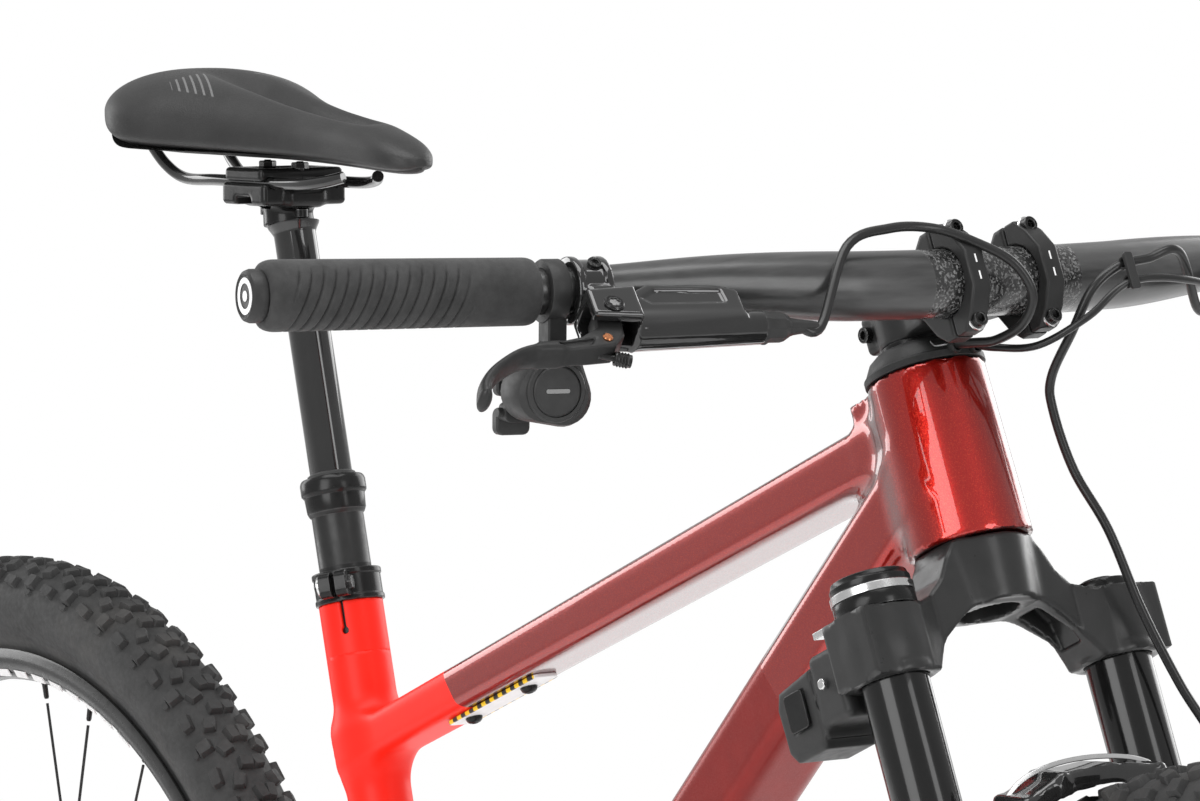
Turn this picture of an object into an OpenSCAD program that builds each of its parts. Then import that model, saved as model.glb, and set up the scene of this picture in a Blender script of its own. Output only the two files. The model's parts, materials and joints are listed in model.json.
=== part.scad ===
// Full-suspension mountain bike. The origin is on the ground, midway between the axles,
// in the mid-plane. +X is forward, +Y is the rider's left, +Z is up. Millimetres.

/* [Wheels] */
// Distance between the two axles
wheel_base = 1197; // [1180:1:1215]
// Radius over the tread
tyre_radius = 372; // [368:0.5:375]
// Radius of the tyre's round section
tyre_section = 30; // [27:0.5:31]
// Outer radius of the rim
rim_radius = 317; // [314:0.5:318]
// Inner radius of the rim
rim_inner = 293; // [288:0.5:296]
// Spokes in each wheel, half of them on each flange
spoke_count = 28; // [24:4:32]
// Radius of the front brake disc
front_disc_radius = 90; // [80:1:92]
// Radius of the rear brake disc
rear_disc_radius = 80; // [70:1:82]

/* [Frame] */
// Head angle from the ground, in degrees
head_angle = 66.14; // [65.5:0.1:67]
// Length of the head tube
head_length = 93.6; // [90:0.5:98]
// Seat tube angle from the ground, in degrees
seat_angle = 74.7; // [74:0.1:75.2]
// Where the seat tube ends at the top
seat_top = [-234, 0, 746.7];
// Distance from the rear axle to the bottom bracket
chainstay = 435; // [432:1:438]
// Height of the axles over the bottom bracket
bottom_bracket_drop = 40; // [36:1:42]
// Distance between the two bottle cage threads
bottle_spacing = 64; // [60:1:68]

/* [Fork and cockpit] */
// Forward offset of the front axle from the steering axis
fork_offset = 44; // [42:0.5:46]
// Length of the fork along the steering axis, from the head tube to the axle
fork_length = 516.8; // [512:0.5:520]
// Half the distance between the two fork legs
leg_half_width = 72.4; // [70:0.2:74]
// Reach of the stem, square to the steering axis
stem_reach = 67.1; // [62:0.5:72]
// Height of the bar over the head tube's lower end
bar_height = 119.5; // [118:0.5:122]
// Backsweep of each bar arm, in degrees
bar_sweep = 9.65; // [7:0.1:11]
// Length of each straight bar arm
bar_arm_length = 354; // [350:1:365]

/* [Drive] */
// Teeth on the chainring
chainring_teeth = 32; // [30:2:34]
// Teeth on the sprocket that the chain is on
driven_teeth = 21; // [18:1:24]
// Crank length
crank_length = 170; // [165:2.5:175]

/* [Hidden] */
$fn = 48;

// Radial gaps: between pieces that only touch, and between pieces that run on each other
gap = 0.05;
run = 0.06;

rear_axle_at = [-wheel_base / 2, 0, tyre_radius];
front_axle_at = [wheel_base / 2, 0, tyre_radius];
head_base = front_axle_at + [-fork_offset * sin(head_angle) - fork_length * cos(head_angle), 0,
    -fork_offset * cos(head_angle) + fork_length * sin(head_angle)];
bottom_bracket = rear_axle_at
    + [sqrt(pow(chainstay, 2) - pow(bottom_bracket_drop, 2)), 0, -bottom_bracket_drop];

// A point in the steering frame: x square to the steering axis, z up along it
function steer_point(x, y, z) = head_base + [x * sin(head_angle) - z * cos(head_angle), y,
    x * cos(head_angle) + z * sin(head_angle)];
// A point on the seat tube's axis, measured up from the tube's top end
function seat_point(t) = seat_top + t * [-cos(seat_angle), 0, sin(seat_angle)];
function along(p, q, t) = p + (q - p) * t;
function flip(p) = [p[0], -p[1], p[2]];

// Seat tube, seat post and collar
post_radius = 15.45;
// The collar's split faces forward and to the right
collar_turn = 130;
seat_tube_radius = 19;
dropper_radius = 12.55;
seal_head_from = 55;
seal_head_to = 76;
post_top = 229;

// Head tube and fork
head_radius_low = 32.5;
head_radius_high = 31;
bearing_radius = 26;
bearing_height = 8;
steerer_low_radius = 20;
steerer_high_radius = 14.3;
steerer_top = 137;
stanchion_radius = 17.5;
leg_x = 2.5;
socket_bottom = -67;
crown_low = -34;
lowers_top = -192;
lowers_radius = 22.5;
cover_top = 108;

// Suspension pivots
main_pivot = bottom_bracket + [40, 0, 48];
yoke_pivot = main_pivot + [-10, 0, 200];
shock_front = yoke_pivot + [179, 0, 33];
pivot_radius = 8;
yoke_pin_radius = 5;
yoke_clearance = 1.7;

// Handlebar
bar_clamp_radius = 17.5;
bar_end_radius = 11.1;
bar_bend = 57;
bar_rise = 0.73;
bar_centre = steer_point(stem_reach, 0, bar_height);
grip_from = 203;
grip_to = 345;
brake_tilt = 38;
clamp_at = 172;
lever_pivot = [180, 37.9, 13.2];
lever_tip = [249, 74, -5.5];
pod_at = [199, 12, -46];

// Drive: everything on the chain's plane lies at this side position
chain_plane = -52;
chain_pitch = 12.7;
tooth_thickness = 1.5;
guide_teeth = 12;
guide_at = rear_axle_at + [15, 0, -146];
tension_at = guide_at + [40, 0, -80];
function pitch_radius(teeth) = chain_pitch / (2 * sin(180 / teeth));

// ---- helpers ----

// Points local +Z along d, from p
module aim(p, d) translate(p) rotate([0, acos(d[2] / norm(d)), atan2(d[1], d[0])]) children();

// A round rod or cone from p to q
module rod(p, q, r, r_end) aim(p, q - p) cylinder(h = norm(q - p), r1 = r, r2 = is_undef(r_end) ? r : r_end);

// A bent rod through points, with a slightly larger ball at each inner corner
bend_growth = 0.8;
module bent_rod(points, r) {
    for (i = [0:len(points) - 2]) rod(points[i], points[i + 1], r);
    for (i = [1:len(points) - 2]) translate(points[i]) sphere(r = r + bend_growth);
}

// A cylinder along Y at x, z, from y0 to y1
module cross_rod(at, y0, y1, r) translate([at[0], y0, at[2]]) rotate([-90, 0, 0]) cylinder(h = y1 - y0, r = r);

// The same piece on both sides of the mid-plane
module both_sides() {
    children();
    mirror([0, 1, 0]) children();
}

module steering_frame() translate(head_base) rotate([0, head_angle - 90, 0]) children();
module seat_frame() translate(seat_top) rotate([0, seat_angle - 90, 0]) children();

// Right bar arm: x outboard along the bar, y forward, z up
module bar_arm() translate(bar_centre + [0, -bar_bend, 0])
    rotate([0, -bar_rise, -90 - bar_sweep]) children();
// The bar arm's frame turned about the bar, so that y points forward and down to the lever
module brake_frame() bar_arm() rotate([-brake_tilt, 0, 0]) children();
module x_rod(x0, x1, r, r_end) translate([x0, 0, 0]) rotate([0, 90, 0])
    cylinder(h = x1 - x0, r1 = r, r2 = is_undef(r_end) ? r : r_end);

// A smooth curve through points (Catmull-Rom)
function curve_at(p, i, t) = let(n = len(p) - 1, a = p[max(i - 1, 0)], b = p[i], c = p[i + 1],
    d = p[min(i + 2, n)])
    0.5 * (2 * b + (c - a) * t + (2 * a - 5 * b + 4 * c - d) * t * t + (3 * b - a - 3 * c + d) * t * t * t);
function curve(p, steps) = concat([for (i = [0:len(p) - 2]) for (k = [0:steps - 1]) curve_at(p, i, k / steps)],
    [p[len(p) - 1]]);
function unit(v) = v / norm(v);

// A round hose along a path: rings joined by a skin. No stretch of the path runs along reference.
module hose(points, r, reference, sides = 8, steps = 5) {
    path = curve(points, steps);
    last = len(path) - 1;
    rings = [for (i = [0:last]) let(d = unit(path[min(i + 1, last)] - path[max(i - 1, 0)]),
        a = unit(cross(d, reference)), b = cross(d, a))
        for (k = [0:sides - 1]) path[i] + r * (cos(360 * k / sides) * a + sin(360 * k / sides) * b)];
    skin = [for (i = [0:last - 1]) for (k = [0:sides - 1])
        [i * sides + k, (i + 1) * sides + k, (i + 1) * sides + (k + 1) % sides, i * sides + (k + 1) % sides]];
    first_cap = [[for (k = [0:sides - 1]) k]];
    last_cap = [[for (k = [sides - 1:-1:0]) last * sides + k]];
    polyhedron(rings, concat(first_cap, skin, last_cap));
}

// A toothed disc's outline
module toothed_outline(teeth, root, tip) {
    step = 360 / teeth;
    polygon([for (i = [0:teeth - 1]) for (c = [[-0.3, root], [-0.12, tip], [0.12, tip], [0.3, root]])
        c[1] * [cos((i + c[0]) * step), sin((i + c[0]) * step)]]);
}

// A toothed disc standing in the chain's plane, centred on y
module toothed_disc(at, y, thickness, teeth) {
    r = pitch_radius(teeth);
    translate([at[0], y + thickness / 2, at[2]]) rotate([90, 0, 0])
        linear_extrude(thickness) toothed_outline(teeth, r - 3.6, r + 2.6);
}

// ---- frame ----

bottle_axis = unit([-sin(51), 0, cos(51)]);
down_top = steer_point(-12, 0, 40);
down_low = main_pivot + [5, 0, 18];
top_tube_rear = seat_point(-84);
top_tube_front = steer_point(-18, 0, 66);

function down_point(t) = along(down_top, down_low, t);
down_radius = 27;
down_direction = unit(down_low - down_top);
down_normal = [down_direction[2], 0, -down_direction[0]];
bottle_mid = 0.52;
bottle_thread_radius = 2.5;
bottle_thread_depth = 9;
boss_height = down_radius + 3;

module bottle_boss(side) aim(down_point(bottle_mid) + side * bottle_spacing / 2 * down_direction
    - down_normal * (boss_height - 14), -down_normal) children();

module front_frame() color("firebrick") difference() {
    union() {
        steering_frame() cylinder(h = head_length, r1 = head_radius_low, r2 = head_radius_high);
        // Top tube: a flat-sided beam, deeper and wider at the head tube
        hull() {
            aim(top_tube_rear, top_tube_front - top_tube_rear) cube([26, 34, 1], center = true);
            aim(top_tube_front, top_tube_front - top_tube_rear) cube([34, 46, 1], center = true);
        }
        rod(down_top, down_low, down_radius + 3, down_radius);
        rod(seat_point(0), seat_point(-372), seat_tube_radius);
        rod(seat_point(-372), bottom_bracket, seat_tube_radius, 15);
        // Gusset between the seat tube and the top tube
        rod(seat_point(-125), along(top_tube_rear, top_tube_front, 0.17), 13, 10);
        cross_rod(bottom_bracket, -36.5, 36.5, 24);
        cross_rod(main_pivot, -20, 20, 19);
        // Two cheeks that hold the shock's front eye
        both_sides() hull() {
            cross_rod(shock_front, 12.4, 17, 11);
            cross_rod(down_point(0.63), 12.4, 17, 20);
        }
        for (side = [-1, 1]) bottle_boss(side) cylinder(h = 14, r = 7);
    }
    steering_frame() {
        translate([0, 0, -1]) cylinder(h = head_length + 2, r = 22);
        for (z = [-1, head_length - bearing_height]) translate([0, 0, z])
            cylinder(h = bearing_height + 1, r = bearing_radius);
        // Room under the head tube for the crown's arms
        translate([0, 0, -45]) cylinder(h = 44.7, r1 = 140, r2 = head_radius_low + 2);
    }
    rod(seat_point(1), seat_point(-215), post_radius + gap);
    cross_rod(bottom_bracket, -40, 40, 17);
    cross_rod(main_pivot, -30, 30, pivot_radius + gap);
    cross_rod(shock_front, -30, 30, 4 + gap);
    // Room for the shock between the cheeks
    hull() {
        cross_rod(shock_front, -12.4, 12.4, 15);
        cross_rod(yoke_pivot, -12.4, 12.4, 15);
    }
    for (side = [-1, 1]) bottle_boss(side) translate([0, 0, 14 - bottle_thread_depth])
        cylinder(h = bottle_thread_depth + 1, r = bottle_thread_radius);
}

module ring(h, outer, inner) difference() {
    cylinder(h = h, r = outer);
    translate([0, 0, -1]) cylinder(h = h + 2, r = inner);
}

module frame_bearings() color("dimgray") {
    steering_frame() {
        ring(bearing_height - 0.1, bearing_radius - gap, steerer_low_radius + run);
        translate([0, 0, head_length - bearing_height + 0.1])
            ring(bearing_height - 0.1, bearing_radius - gap, steerer_high_radius + run);
    }
    both_sides() translate(bottom_bracket) rotate([90, 0, 0]) {
        translate([0, 0, 20]) ring(16.6, 17 - gap, spindle_radius + run);
        translate([0, 0, 36.6]) ring(9, 21.5, spindle_radius + run);
    }
}

module seat_collar() color("black") {
    seat_frame() difference() {
        union() {
            translate([0, 0, 0.1]) cylinder(h = 19, r = 20.5);
            rotate([0, 0, collar_turn]) translate([-30, -11, 2]) cube([14, 22, 15]);
        }
        translate([0, 0, -1]) cylinder(h = 25, r = post_radius + gap);
        rotate([0, 0, collar_turn]) {
            translate([-40, -1.2, -1]) cube([30, 2.4, 25]);
            translate([-25.5, -20, 9.5]) rotate([-90, 0, 0]) cylinder(h = 40, r = 2.6);
        }
    }
    // Its bolt
    seat_frame() rotate([0, 0, collar_turn]) translate([-25.5, -15, 9.5]) rotate([-90, 0, 0]) {
        cylinder(h = 28, r = 2.5);
        cylinder(h = 3.9, r = 4.4);
    }
}

module dropper_lower() color("#202022") seat_frame() difference() {
    union() {
        translate([0, 0, -212]) cylinder(h = 212 + seal_head_from, r = post_radius);
        translate([0, 0, seal_head_from]) cylinder(h = seal_head_to - seal_head_from - 4, r1 = 17, r2 = 19);
        translate([0, 0, seal_head_to - 4]) cylinder(h = 4, r1 = 19, r2 = 16);
    }
    translate([0, 0, -205]) cylinder(h = 400, r = dropper_radius + run);
}

// A plate under the top tube, with its two bolts
module accessory_mount() {
    direction = unit(top_tube_front - top_tube_rear);
    aim(along(top_tube_rear, top_tube_front, 0.17), direction) translate([16.5, 0, 0]) {
        color("white") translate([-0.6, -9, 0]) cube([2.4, 18, 92]);
        color("black") for (z = [14, 74]) translate([1.9, 0, z]) rotate([0, 90, 0]) cylinder(h = 4, r = 4.5);
    }
}

module frame_pivot_axles() color("dimgray") {
    cross_rod(main_pivot, -45, 45, pivot_radius);
    both_sides() cross_rod(main_pivot, 45.2, 48, 12);
    cross_rod(shock_front, -19.8, 19.8, 4);
    both_sides() cross_rod(shock_front, 17.1, 19.9, 7);
}

// ---- seat ----

saddle_at = seat_point(268);
rail_half = 22;
rail_height = -12;
saddle_tilt = 5;
shell_height = 6;
shell_thickness = 5;
pad_thickness = 26;

module saddle_frame() translate([saddle_at[0], 0, saddle_at[2]]) children();

module dropper_upper() color("black") seat_frame() translate([0, 0, -35]) difference() {
    cylinder(h = post_top + 35, r = dropper_radius);
    translate([0, 0, -1]) cylinder(h = 200, r = 10);
}

// The cradle on the post, the cover over the rails and their two bolts
module saddle_clamp() color("black") {
    difference() {
        union() {
            seat_frame() translate([0, 0, post_top + 0.1]) cylinder(h = 12, r = 15);
            saddle_frame() translate([-24, -29, rail_height - 16]) cube([48, 58, 15]);
        }
        saddle_frame() both_sides() translate([-40, rail_half, rail_height]) rotate([0, 90, 0])
            cylinder(h = 80, r = 3.5 + gap);
        for (x = [-18, 18]) saddle_frame() translate([x, 0, rail_height - 30]) {
            cylinder(h = 60, r = 2.6);
            cylinder(h = 14, r = 4.8);
        }
    }
    difference() {
        saddle_frame() translate([-20, -29, rail_height + 0.4]) cube([40, 58, 8]);
        saddle_frame() both_sides() translate([-40, rail_half, rail_height]) rotate([0, 90, 0])
            cylinder(h = 80, r = 3.5 + gap);
        for (x = [-18, 18]) saddle_frame() translate([x, 0, rail_height - 30]) cylinder(h = 60, r = 2.6);
    }
    for (x = [-18, 18]) saddle_frame() translate([x, 0, rail_height - 21]) {
        cylinder(h = 32, r = 2.5);
        cylinder(h = 4.8, r = 4.5);
    }
}

module saddle_rails() color("#1a1a1a") saddle_frame() both_sides() hose([[-112, 26, 10],
    [-96, 24, rail_height + 8], [-76, rail_half, rail_height], [-40, rail_half, rail_height],
    [0, rail_half, rail_height], [26, rail_half, rail_height], [50, rail_half, rail_height],
    [72, 18, rail_height + 2],
    [84, 12, rail_height + 5]], 3.5, [0, 1, 0], 12, 3);

saddle_back = -122;
saddle_length = 268;
saddle_half = 71;
nose_half = 19;
// Half width of the saddle at s, from 0 at the tail to 1 at the nose
function saddle_half_at(s) = nose_half + (saddle_half - nose_half) * pow(cos(90 * min(1, s / 0.78)), 1.5)
    * (s < 0.78 ? 1 : 0);
function saddle_outline(steps, inset) = concat(
    [for (k = [0:steps]) let(s = k / steps) [saddle_back + inset + (saddle_length - 2 * inset) * s,
        (saddle_half_at(s) - inset) * sqrt(max(0, 1 - pow(max(0, s - 0.92) / 0.08, 2))) * min(1, 0.72 + s * 3)]],
    [for (k = [steps - 1:-1:0]) let(s = k / steps) [saddle_back + inset + (saddle_length - 2 * inset) * s,
        -(saddle_half_at(s) - inset) * sqrt(max(0, 1 - pow(max(0, s - 0.92) / 0.08, 2))) * min(1, 0.72 + s * 3)]]);

module saddle_shell() color("#161616") saddle_frame() translate([0, 0, shell_height]) rotate([0, saddle_tilt, 0])
    linear_extrude(shell_thickness) polygon(saddle_outline(24, 5));

module saddle_pad() color("#222222") saddle_frame() translate([0, 0, shell_height]) rotate([0, saddle_tilt, 0])
    translate([0, 0, shell_thickness + 0.1]) linear_extrude(pad_thickness) polygon(saddle_outline(24, 0));

// ---- fork and cockpit ----

module fork_crown() color("#1b1b1d") steering_frame() difference() {
    union() {
        translate([0, 0, crown_low]) cylinder(h = -0.5 - crown_low, r1 = 24, r2 = 28);
        translate([0, 0, -1]) cylinder(h = 12, r = steerer_low_radius);
        translate([0, 0, 11]) cylinder(h = 50, r1 = steerer_low_radius, r2 = steerer_high_radius);
        translate([0, 0, 61]) cylinder(h = steerer_top - 61, r = steerer_high_radius);
        both_sides() {
            hull() {
                translate([0, 10, crown_low]) cylinder(h = 28, r = 17, $fn = 32);
                translate([leg_x, leg_half_width, socket_bottom + 4]) cylinder(h = 30, r = 19, $fn = 32);
            }
            translate([leg_x, leg_half_width, socket_bottom]) cylinder(h = 36, r = 21);
        }
    }
    both_sides() translate([leg_x, leg_half_width, socket_bottom - 1])
        cylinder(h = 60, r = stanchion_radius + gap);
    // Seats of the top caps and of the module's ring
    both_sides() translate([leg_x, leg_half_width, socket_bottom + 36]) cylinder(h = 60, r = 21.6);
    translate([0, 0, crown_low - 1]) cylinder(h = 42, r1 = 17.5, r2 = 14);
    translate([0, 0, 8]) cylinder(h = 140, r = 11.5);
}

module stanchions() color("black") steering_frame() both_sides()
    translate([leg_x, leg_half_width, -315]) difference() {
        cylinder(h = 315 - 33, r = stanchion_radius);
        translate([0, 0, -1]) cylinder(h = 240, r = 15);
    }

module fork_top_caps() color("#151515") steering_frame() {
    translate([leg_x, -leg_half_width, -18.8]) cylinder(h = 6.8, r1 = 20, r2 = 18.5);
    translate([leg_x, leg_half_width, -30.8]) cylinder(h = 5, r = 17);
    translate([leg_x, leg_half_width, -25.8]) cylinder(h = 2, r = 9);
}

// Electronic damping module: a ring on the leg, a bracket, the module and its battery
module fork_module() steering_frame() translate([leg_x, -leg_half_width, 0]) {
    color("silver") translate([0, 0, -30.8]) cylinder(h = 11.8, r = 21.5);
    color("#141414") difference() {
        translate([-44, -18, -78]) cube([24, 36, 38]);
        translate([0, 0, -100]) cylinder(h = 100, r = 21.5 + gap);
    }
    color("#101010") translate([-77, -17, -85]) cube([32.6, 34, 38]);
}

module headset_cover() color("#1a1a1a") steering_frame() difference() {
    union() {
        translate([0, 0, head_length + 0.2]) cylinder(h = 9, r1 = 31.5, r2 = 27);
        translate([0, 0, head_length + 9.2]) cylinder(h = cover_top - head_length - 9.2, r1 = 27, r2 = 22.5);
        translate([0, 0, cover_top + 0.2]) cylinder(h = 3, r = 19);
    }
    translate([0, 0, head_length - 1]) cylinder(h = 30, r = steerer_high_radius + gap);
    translate([0, 0, cover_top]) ring(0.2, 30, 1);
}

stem_low = cover_top + 3.4;
module stem() color("#19191a") steering_frame() difference() {
    union() {
        translate([0, 0, stem_low]) cylinder(h = 27, r = 19.4);
        // Split lugs behind the steerer, and the neck that forks to the two bar clamps
        translate([-27, -12, stem_low + 3]) cube([12, 24, 21]);
        hull() {
            translate([8, -16, stem_low + 5]) cube([4, 32, 19]);
            translate([stem_reach - 25, -26, bar_height - 14]) cube([5, 52, 26]);
        }
        for (y = [-30, 18]) translate([stem_reach - 22, y, bar_height - 29]) cube([21.6, 12, 58]);
    }
    translate([0, 0, stem_low - 1]) cylinder(h = 40, r = steerer_high_radius + gap);
    translate([-40, -1, stem_low - 1]) cube([30, 2, 40]);
    translate([stem_reach, -60, bar_height]) rotate([-90, 0, 0]) cylinder(h = 120, r = bar_clamp_radius + gap);
    translate([-22, -20, stem_low + 13.5]) rotate([-90, 0, 0]) cylinder(h = 40, r = 2.6);
    for (y = [-24, 24]) for (z = [-24.5, 24.5]) translate([stem_reach - 15, y, bar_height + z])
        rotate([0, 90, 0]) cylinder(h = 40, r = 2.6);
}

module stem_clamp_bands() color("#1c1c1d") steering_frame() for (y = [-24, 24])
    translate([stem_reach, y, bar_height]) difference() {
        rotate([90, 0, 0]) translate([0, 0, -6]) intersection() {
            union() {
                cylinder(h = 12, r = 24);
                translate([0, -29, 0]) cube([12, 58, 12]);
            }
            translate([0.4, -40, -1]) cube([50, 80, 20]);
        }
        translate([0, 20, 0]) rotate([90, 0, 0]) cylinder(h = 40, r = bar_clamp_radius + gap);
        for (z = [-24.5, 24.5]) translate([-5, 0, z]) rotate([0, 90, 0]) cylinder(h = 40, r = 2.6);
    }

module stem_bolts() color("#111111") steering_frame() {
    for (y = [-24, 24]) for (z = [-24.5, 24.5]) translate([stem_reach - 14, y, bar_height + z]) rotate([0, 90, 0]) {
        cylinder(h = 26.8, r = 2.5);
        translate([0, 0, 26.8]) cylinder(h = 4, r = 4);
    }
    translate([-22, -16, stem_low + 13.5]) rotate([-90, 0, 0]) {
        cylinder(h = 27, r = 2.5);
        cylinder(h = 3.9, r = 4);
    }
    // Top cap and its bolt
    translate([0, 0, steerer_top + 1.6]) cylinder(h = 4, r = 17);
}

module handlebar() color("#1d1d1f") difference() {
    union() {
        translate(bar_centre) rotate([90, 0, 0]) cylinder(h = 2 * bar_bend, r = bar_clamp_radius, center = true);
        both_sides() {
            bar_arm() {
                x_rod(-6, 6, bar_clamp_radius + 0.6);
                x_rod(0, 22, bar_clamp_radius);
                x_rod(22, 165, bar_clamp_radius, bar_end_radius);
                x_rod(165, bar_arm_length - 10, bar_end_radius);
            }
        }
    }
    both_sides() bar_arm() x_rod(250, bar_arm_length, 9);
}

module grips() color("#333335") both_sides() bar_arm() difference() {
    union() {
        x_rod(grip_from, grip_from + 4, 14.5, 16.4);
        x_rod(grip_from + 4, grip_to - 6, 16.4, 17.3);
        x_rod(grip_to - 6, grip_to, 17.3, 13.5);
    }
    x_rod(grip_from - 1, grip_to + 1, bar_end_radius + gap);
}

module bar_plugs() color("#141414") both_sides() bar_arm() {
    x_rod(grip_to + 0.1, bar_arm_length, 12.6, 12);
    x_rod(320, grip_to + 1, 9 - gap);
}

// Brake master cylinder: a clamp on the bar, an arm, the cylinder and its lever bracket
module brake_master() brake_frame() difference() {
    union() {
        x_rod(clamp_at - 7, clamp_at + 7, 16);
        translate([clamp_at - 7, 8, -6]) cube([14, 20, 16]);
        translate([0, 27, 6]) x_rod(84, 186, 9, 10.5);
        translate([0, 27, 6]) x_rod(76, 84, 4, 9);
        translate([lever_pivot[0] - 8, 30, 1]) cube([16, 14, 24]);
    }
    x_rod(clamp_at - 20, clamp_at + 20, bar_end_radius + gap);
    translate([lever_pivot[0] - 12, 30.5, lever_pivot[2] - 9]) cube([40, 30, 15.3]);
    translate([lever_pivot[0], lever_pivot[1], -20]) cylinder(h = 60, r = 3 + run);
}
module brake_masters() color("#101011") both_sides() brake_master();

module brake_lever() brake_frame() {
    difference() {
        union() {
            translate([lever_pivot[0], lever_pivot[1], lever_pivot[2] - 6]) cylinder(h = 12, r = 6);
            hull() {
                translate(lever_pivot + [0, 0, -5]) cylinder(h = 10, r = 5, $fn = 24);
                translate(along(lever_pivot, lever_tip, 0.45) + [0, 5, -5]) cylinder(h = 10, r = 4, $fn = 24);
            }
            hull() {
                translate(along(lever_pivot, lever_tip, 0.45) + [0, 5, -5]) cylinder(h = 10, r = 4, $fn = 24);
                translate(lever_tip + [0, 0, -5]) cylinder(h = 10, r = 3.5, $fn = 24);
            }
        }
        translate([lever_pivot[0], lever_pivot[1], -20]) cylinder(h = 60, r = 3 + run);
    }
    // The pivot pin, fixed in the lever
    translate([lever_pivot[0], lever_pivot[1], 1]) cylinder(h = 24, r = 3);
    // Reach adjuster
    translate(lever_pivot + [14, 14, -3]) rotate([0, 90, 0]) cylinder(h = 9, r = 3.5);
}
module right_brake_lever() color("#121212") brake_lever();
module left_brake_lever() color("#121212") mirror([0, 1, 0]) brake_lever();

// Wireless control pod under the bar, with its strap
module shift_pod() bar_arm() difference() {
    union() {
        x_rod(188, 198, 15);
        translate([188, -4, -34]) cube([10, 12, 22]);
        translate([pod_at[0], pod_at[1] - 13, pod_at[2]]) rotate([-90, 0, 0]) cylinder(h = 24, r = 19);
    }
    x_rod(180, 210, bar_end_radius + gap);
}
module shift_pods() color("#161617") both_sides() shift_pod();

// A paddle on the pod's rider side, hinged on a pin along the bar
module paddle(x, z) bar_arm() {
    translate([x - 9, pod_at[1] - 22, z - 5]) cube([18, 8.1, 10]);
    translate([x - 9, pod_at[1] - 30, z - 12]) cube([18, 8, 14]);
    translate([0, pod_at[1] - 18, z]) x_rod(x - 11, x + 11, 2.5);
}
module upshift_paddle() color("#1a1a1a") paddle(pod_at[0] + 8, pod_at[2] + 6);
module downshift_paddle() color("#1a1a1a") paddle(pod_at[0] + 8, pod_at[2] - 13);
module dropper_paddle() color("#1a1a1a") mirror([0, 1, 0]) paddle(pod_at[0] + 8, pod_at[2] - 2);

// Hoses are laid out in the steering frame. Both control hoses enter the headset cover's front.
cover_entry = [29.8, 0, cover_top - 8.4];
clip_at = [119, 60, 98];
module control_hoses() color("#151515") steering_frame() {
    // Rear brake hose: over the bar and down the stem's front
    hose([[79.2, -141, 111], [80, -120, 123], [81, -95, 136], [81, -65, 145], [84, -40, 143],
        [90, -22, 133], [96, -6, 119], [93, 4, 103], [80, 4, 92], [62, 0, 90], [46, -2, 94.5],
        cover_entry + [1.4, -3, 0]], 2.5, [0.5, 0, 1]);
    // Dropper hose: from the left past the clip
    hose([[84, 150, 98], [104, 100, 102], [104, 60, 103], [90, 38, 90], [66, 22, 84.5], [44, 13, 92],
        cover_entry + [-0.2, 10, 0]], 2, [0.5, 0, 1]);
    translate(clip_at) cube([3, 6, 22]);
}

module front_brake_hose() color("#151515") steering_frame() hose([[90, 140, 110], [106, 95, 117],
    [103.9, 75, 115], [100, 58, 113], [92, 44, 104], [76, 38, 88], [52, 37, 72], [44, 39, 57], [39.1, 46, 25.6],
    [41.4, 56, -8.3], [36, 68, -49.5], [31, 84, -89.6], [32, 100, -135.7], [20, 103, -185], [-22, 95, -310],
    [-38, 62, -428]], 2.5, [1, 0, 0]);

// One half of the arch between the lower legs
arch_half = [[leg_x + 14, leg_half_width - 6, lowers_top - 12], [40, 60, -152], [48, 34, -136]];
module fork_lowers() color("#161617") {
    steering_frame() difference() {
        union() {
            both_sides() {
                translate([leg_x, leg_half_width, -478]) cylinder(h = lowers_top + 478, r1 = 20, r2 = lowers_radius);
                rod([leg_x, leg_half_width, -478], [fork_offset - 8, 66, -fork_length + 6], 18, 13);
                translate([fork_offset, 55.2, -fork_length]) rotate([-90, 0, 0]) cylinder(h = 20, r = 15);
            }
            bent_rod(concat(arch_half, [for (i = [len(arch_half) - 1:-1:0]) flip(arch_half[i])]), 6);
        }
        both_sides() translate([leg_x, leg_half_width, -435]) cylinder(h = 300, r = stanchion_radius + run);
        translate([fork_offset, -100, -fork_length]) rotate([-90, 0, 0]) cylinder(h = 200, r = 7.5 + gap);
        translate([fork_offset, 0, -fork_length]) rotate([90, 0, 0])
            cylinder(h = 110, r = 60, center = true);
    }
    // Wiper seals
    steering_frame() both_sides() translate([leg_x, leg_half_width, lowers_top + 0.1])
        ring(8, 21.5, stanchion_radius + run);
}

module front_axle() color("#222222") {
    cross_rod(front_axle_at, -80, 79.8, 7.5);
    cross_rod(front_axle_at, 79.6, 84.6, 11);
}

module front_caliper() color("#141414") steering_frame() difference() {
    translate([-56, 34, -492]) cube([35.6, 26, 52]);
    translate([-47, front_disc_y - 1.6, -600]) cube([80, 5, 200]);
}

// ---- wheels ----

module tyre(at) translate(at) rotate([90, 0, 0]) rotate_extrude($fn = 96) difference() {
    translate([tyre_radius - tyre_section, 0]) circle(r = tyre_section, $fn = 40);
    translate([rim_radius - 4, 0]) square([16, 2 * 15.2], center = true);
    translate([tyre_radius - tyre_section, 0]) circle(r = tyre_section - 3, $fn = 40);
    translate([rim_radius - 25, -20]) square([22, 40]);
}

rim_half = 17.5;
module rim(at) translate(at) rotate([90, 0, 0]) rotate_extrude($fn = 96) polygon([
    [rim_inner, -5], [rim_radius - 12, -rim_half], [rim_radius - 3.3, -rim_half], [rim_radius - 3.3, -15],
    [rim_radius - 9, -15], [rim_radius - 14, -6], [rim_radius - 14, 6], [rim_radius - 9, 15],
    [rim_radius - 3.3, 15], [rim_radius - 3.3, rim_half], [rim_radius - 12, rim_half], [rim_inner, 5]]);

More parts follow.
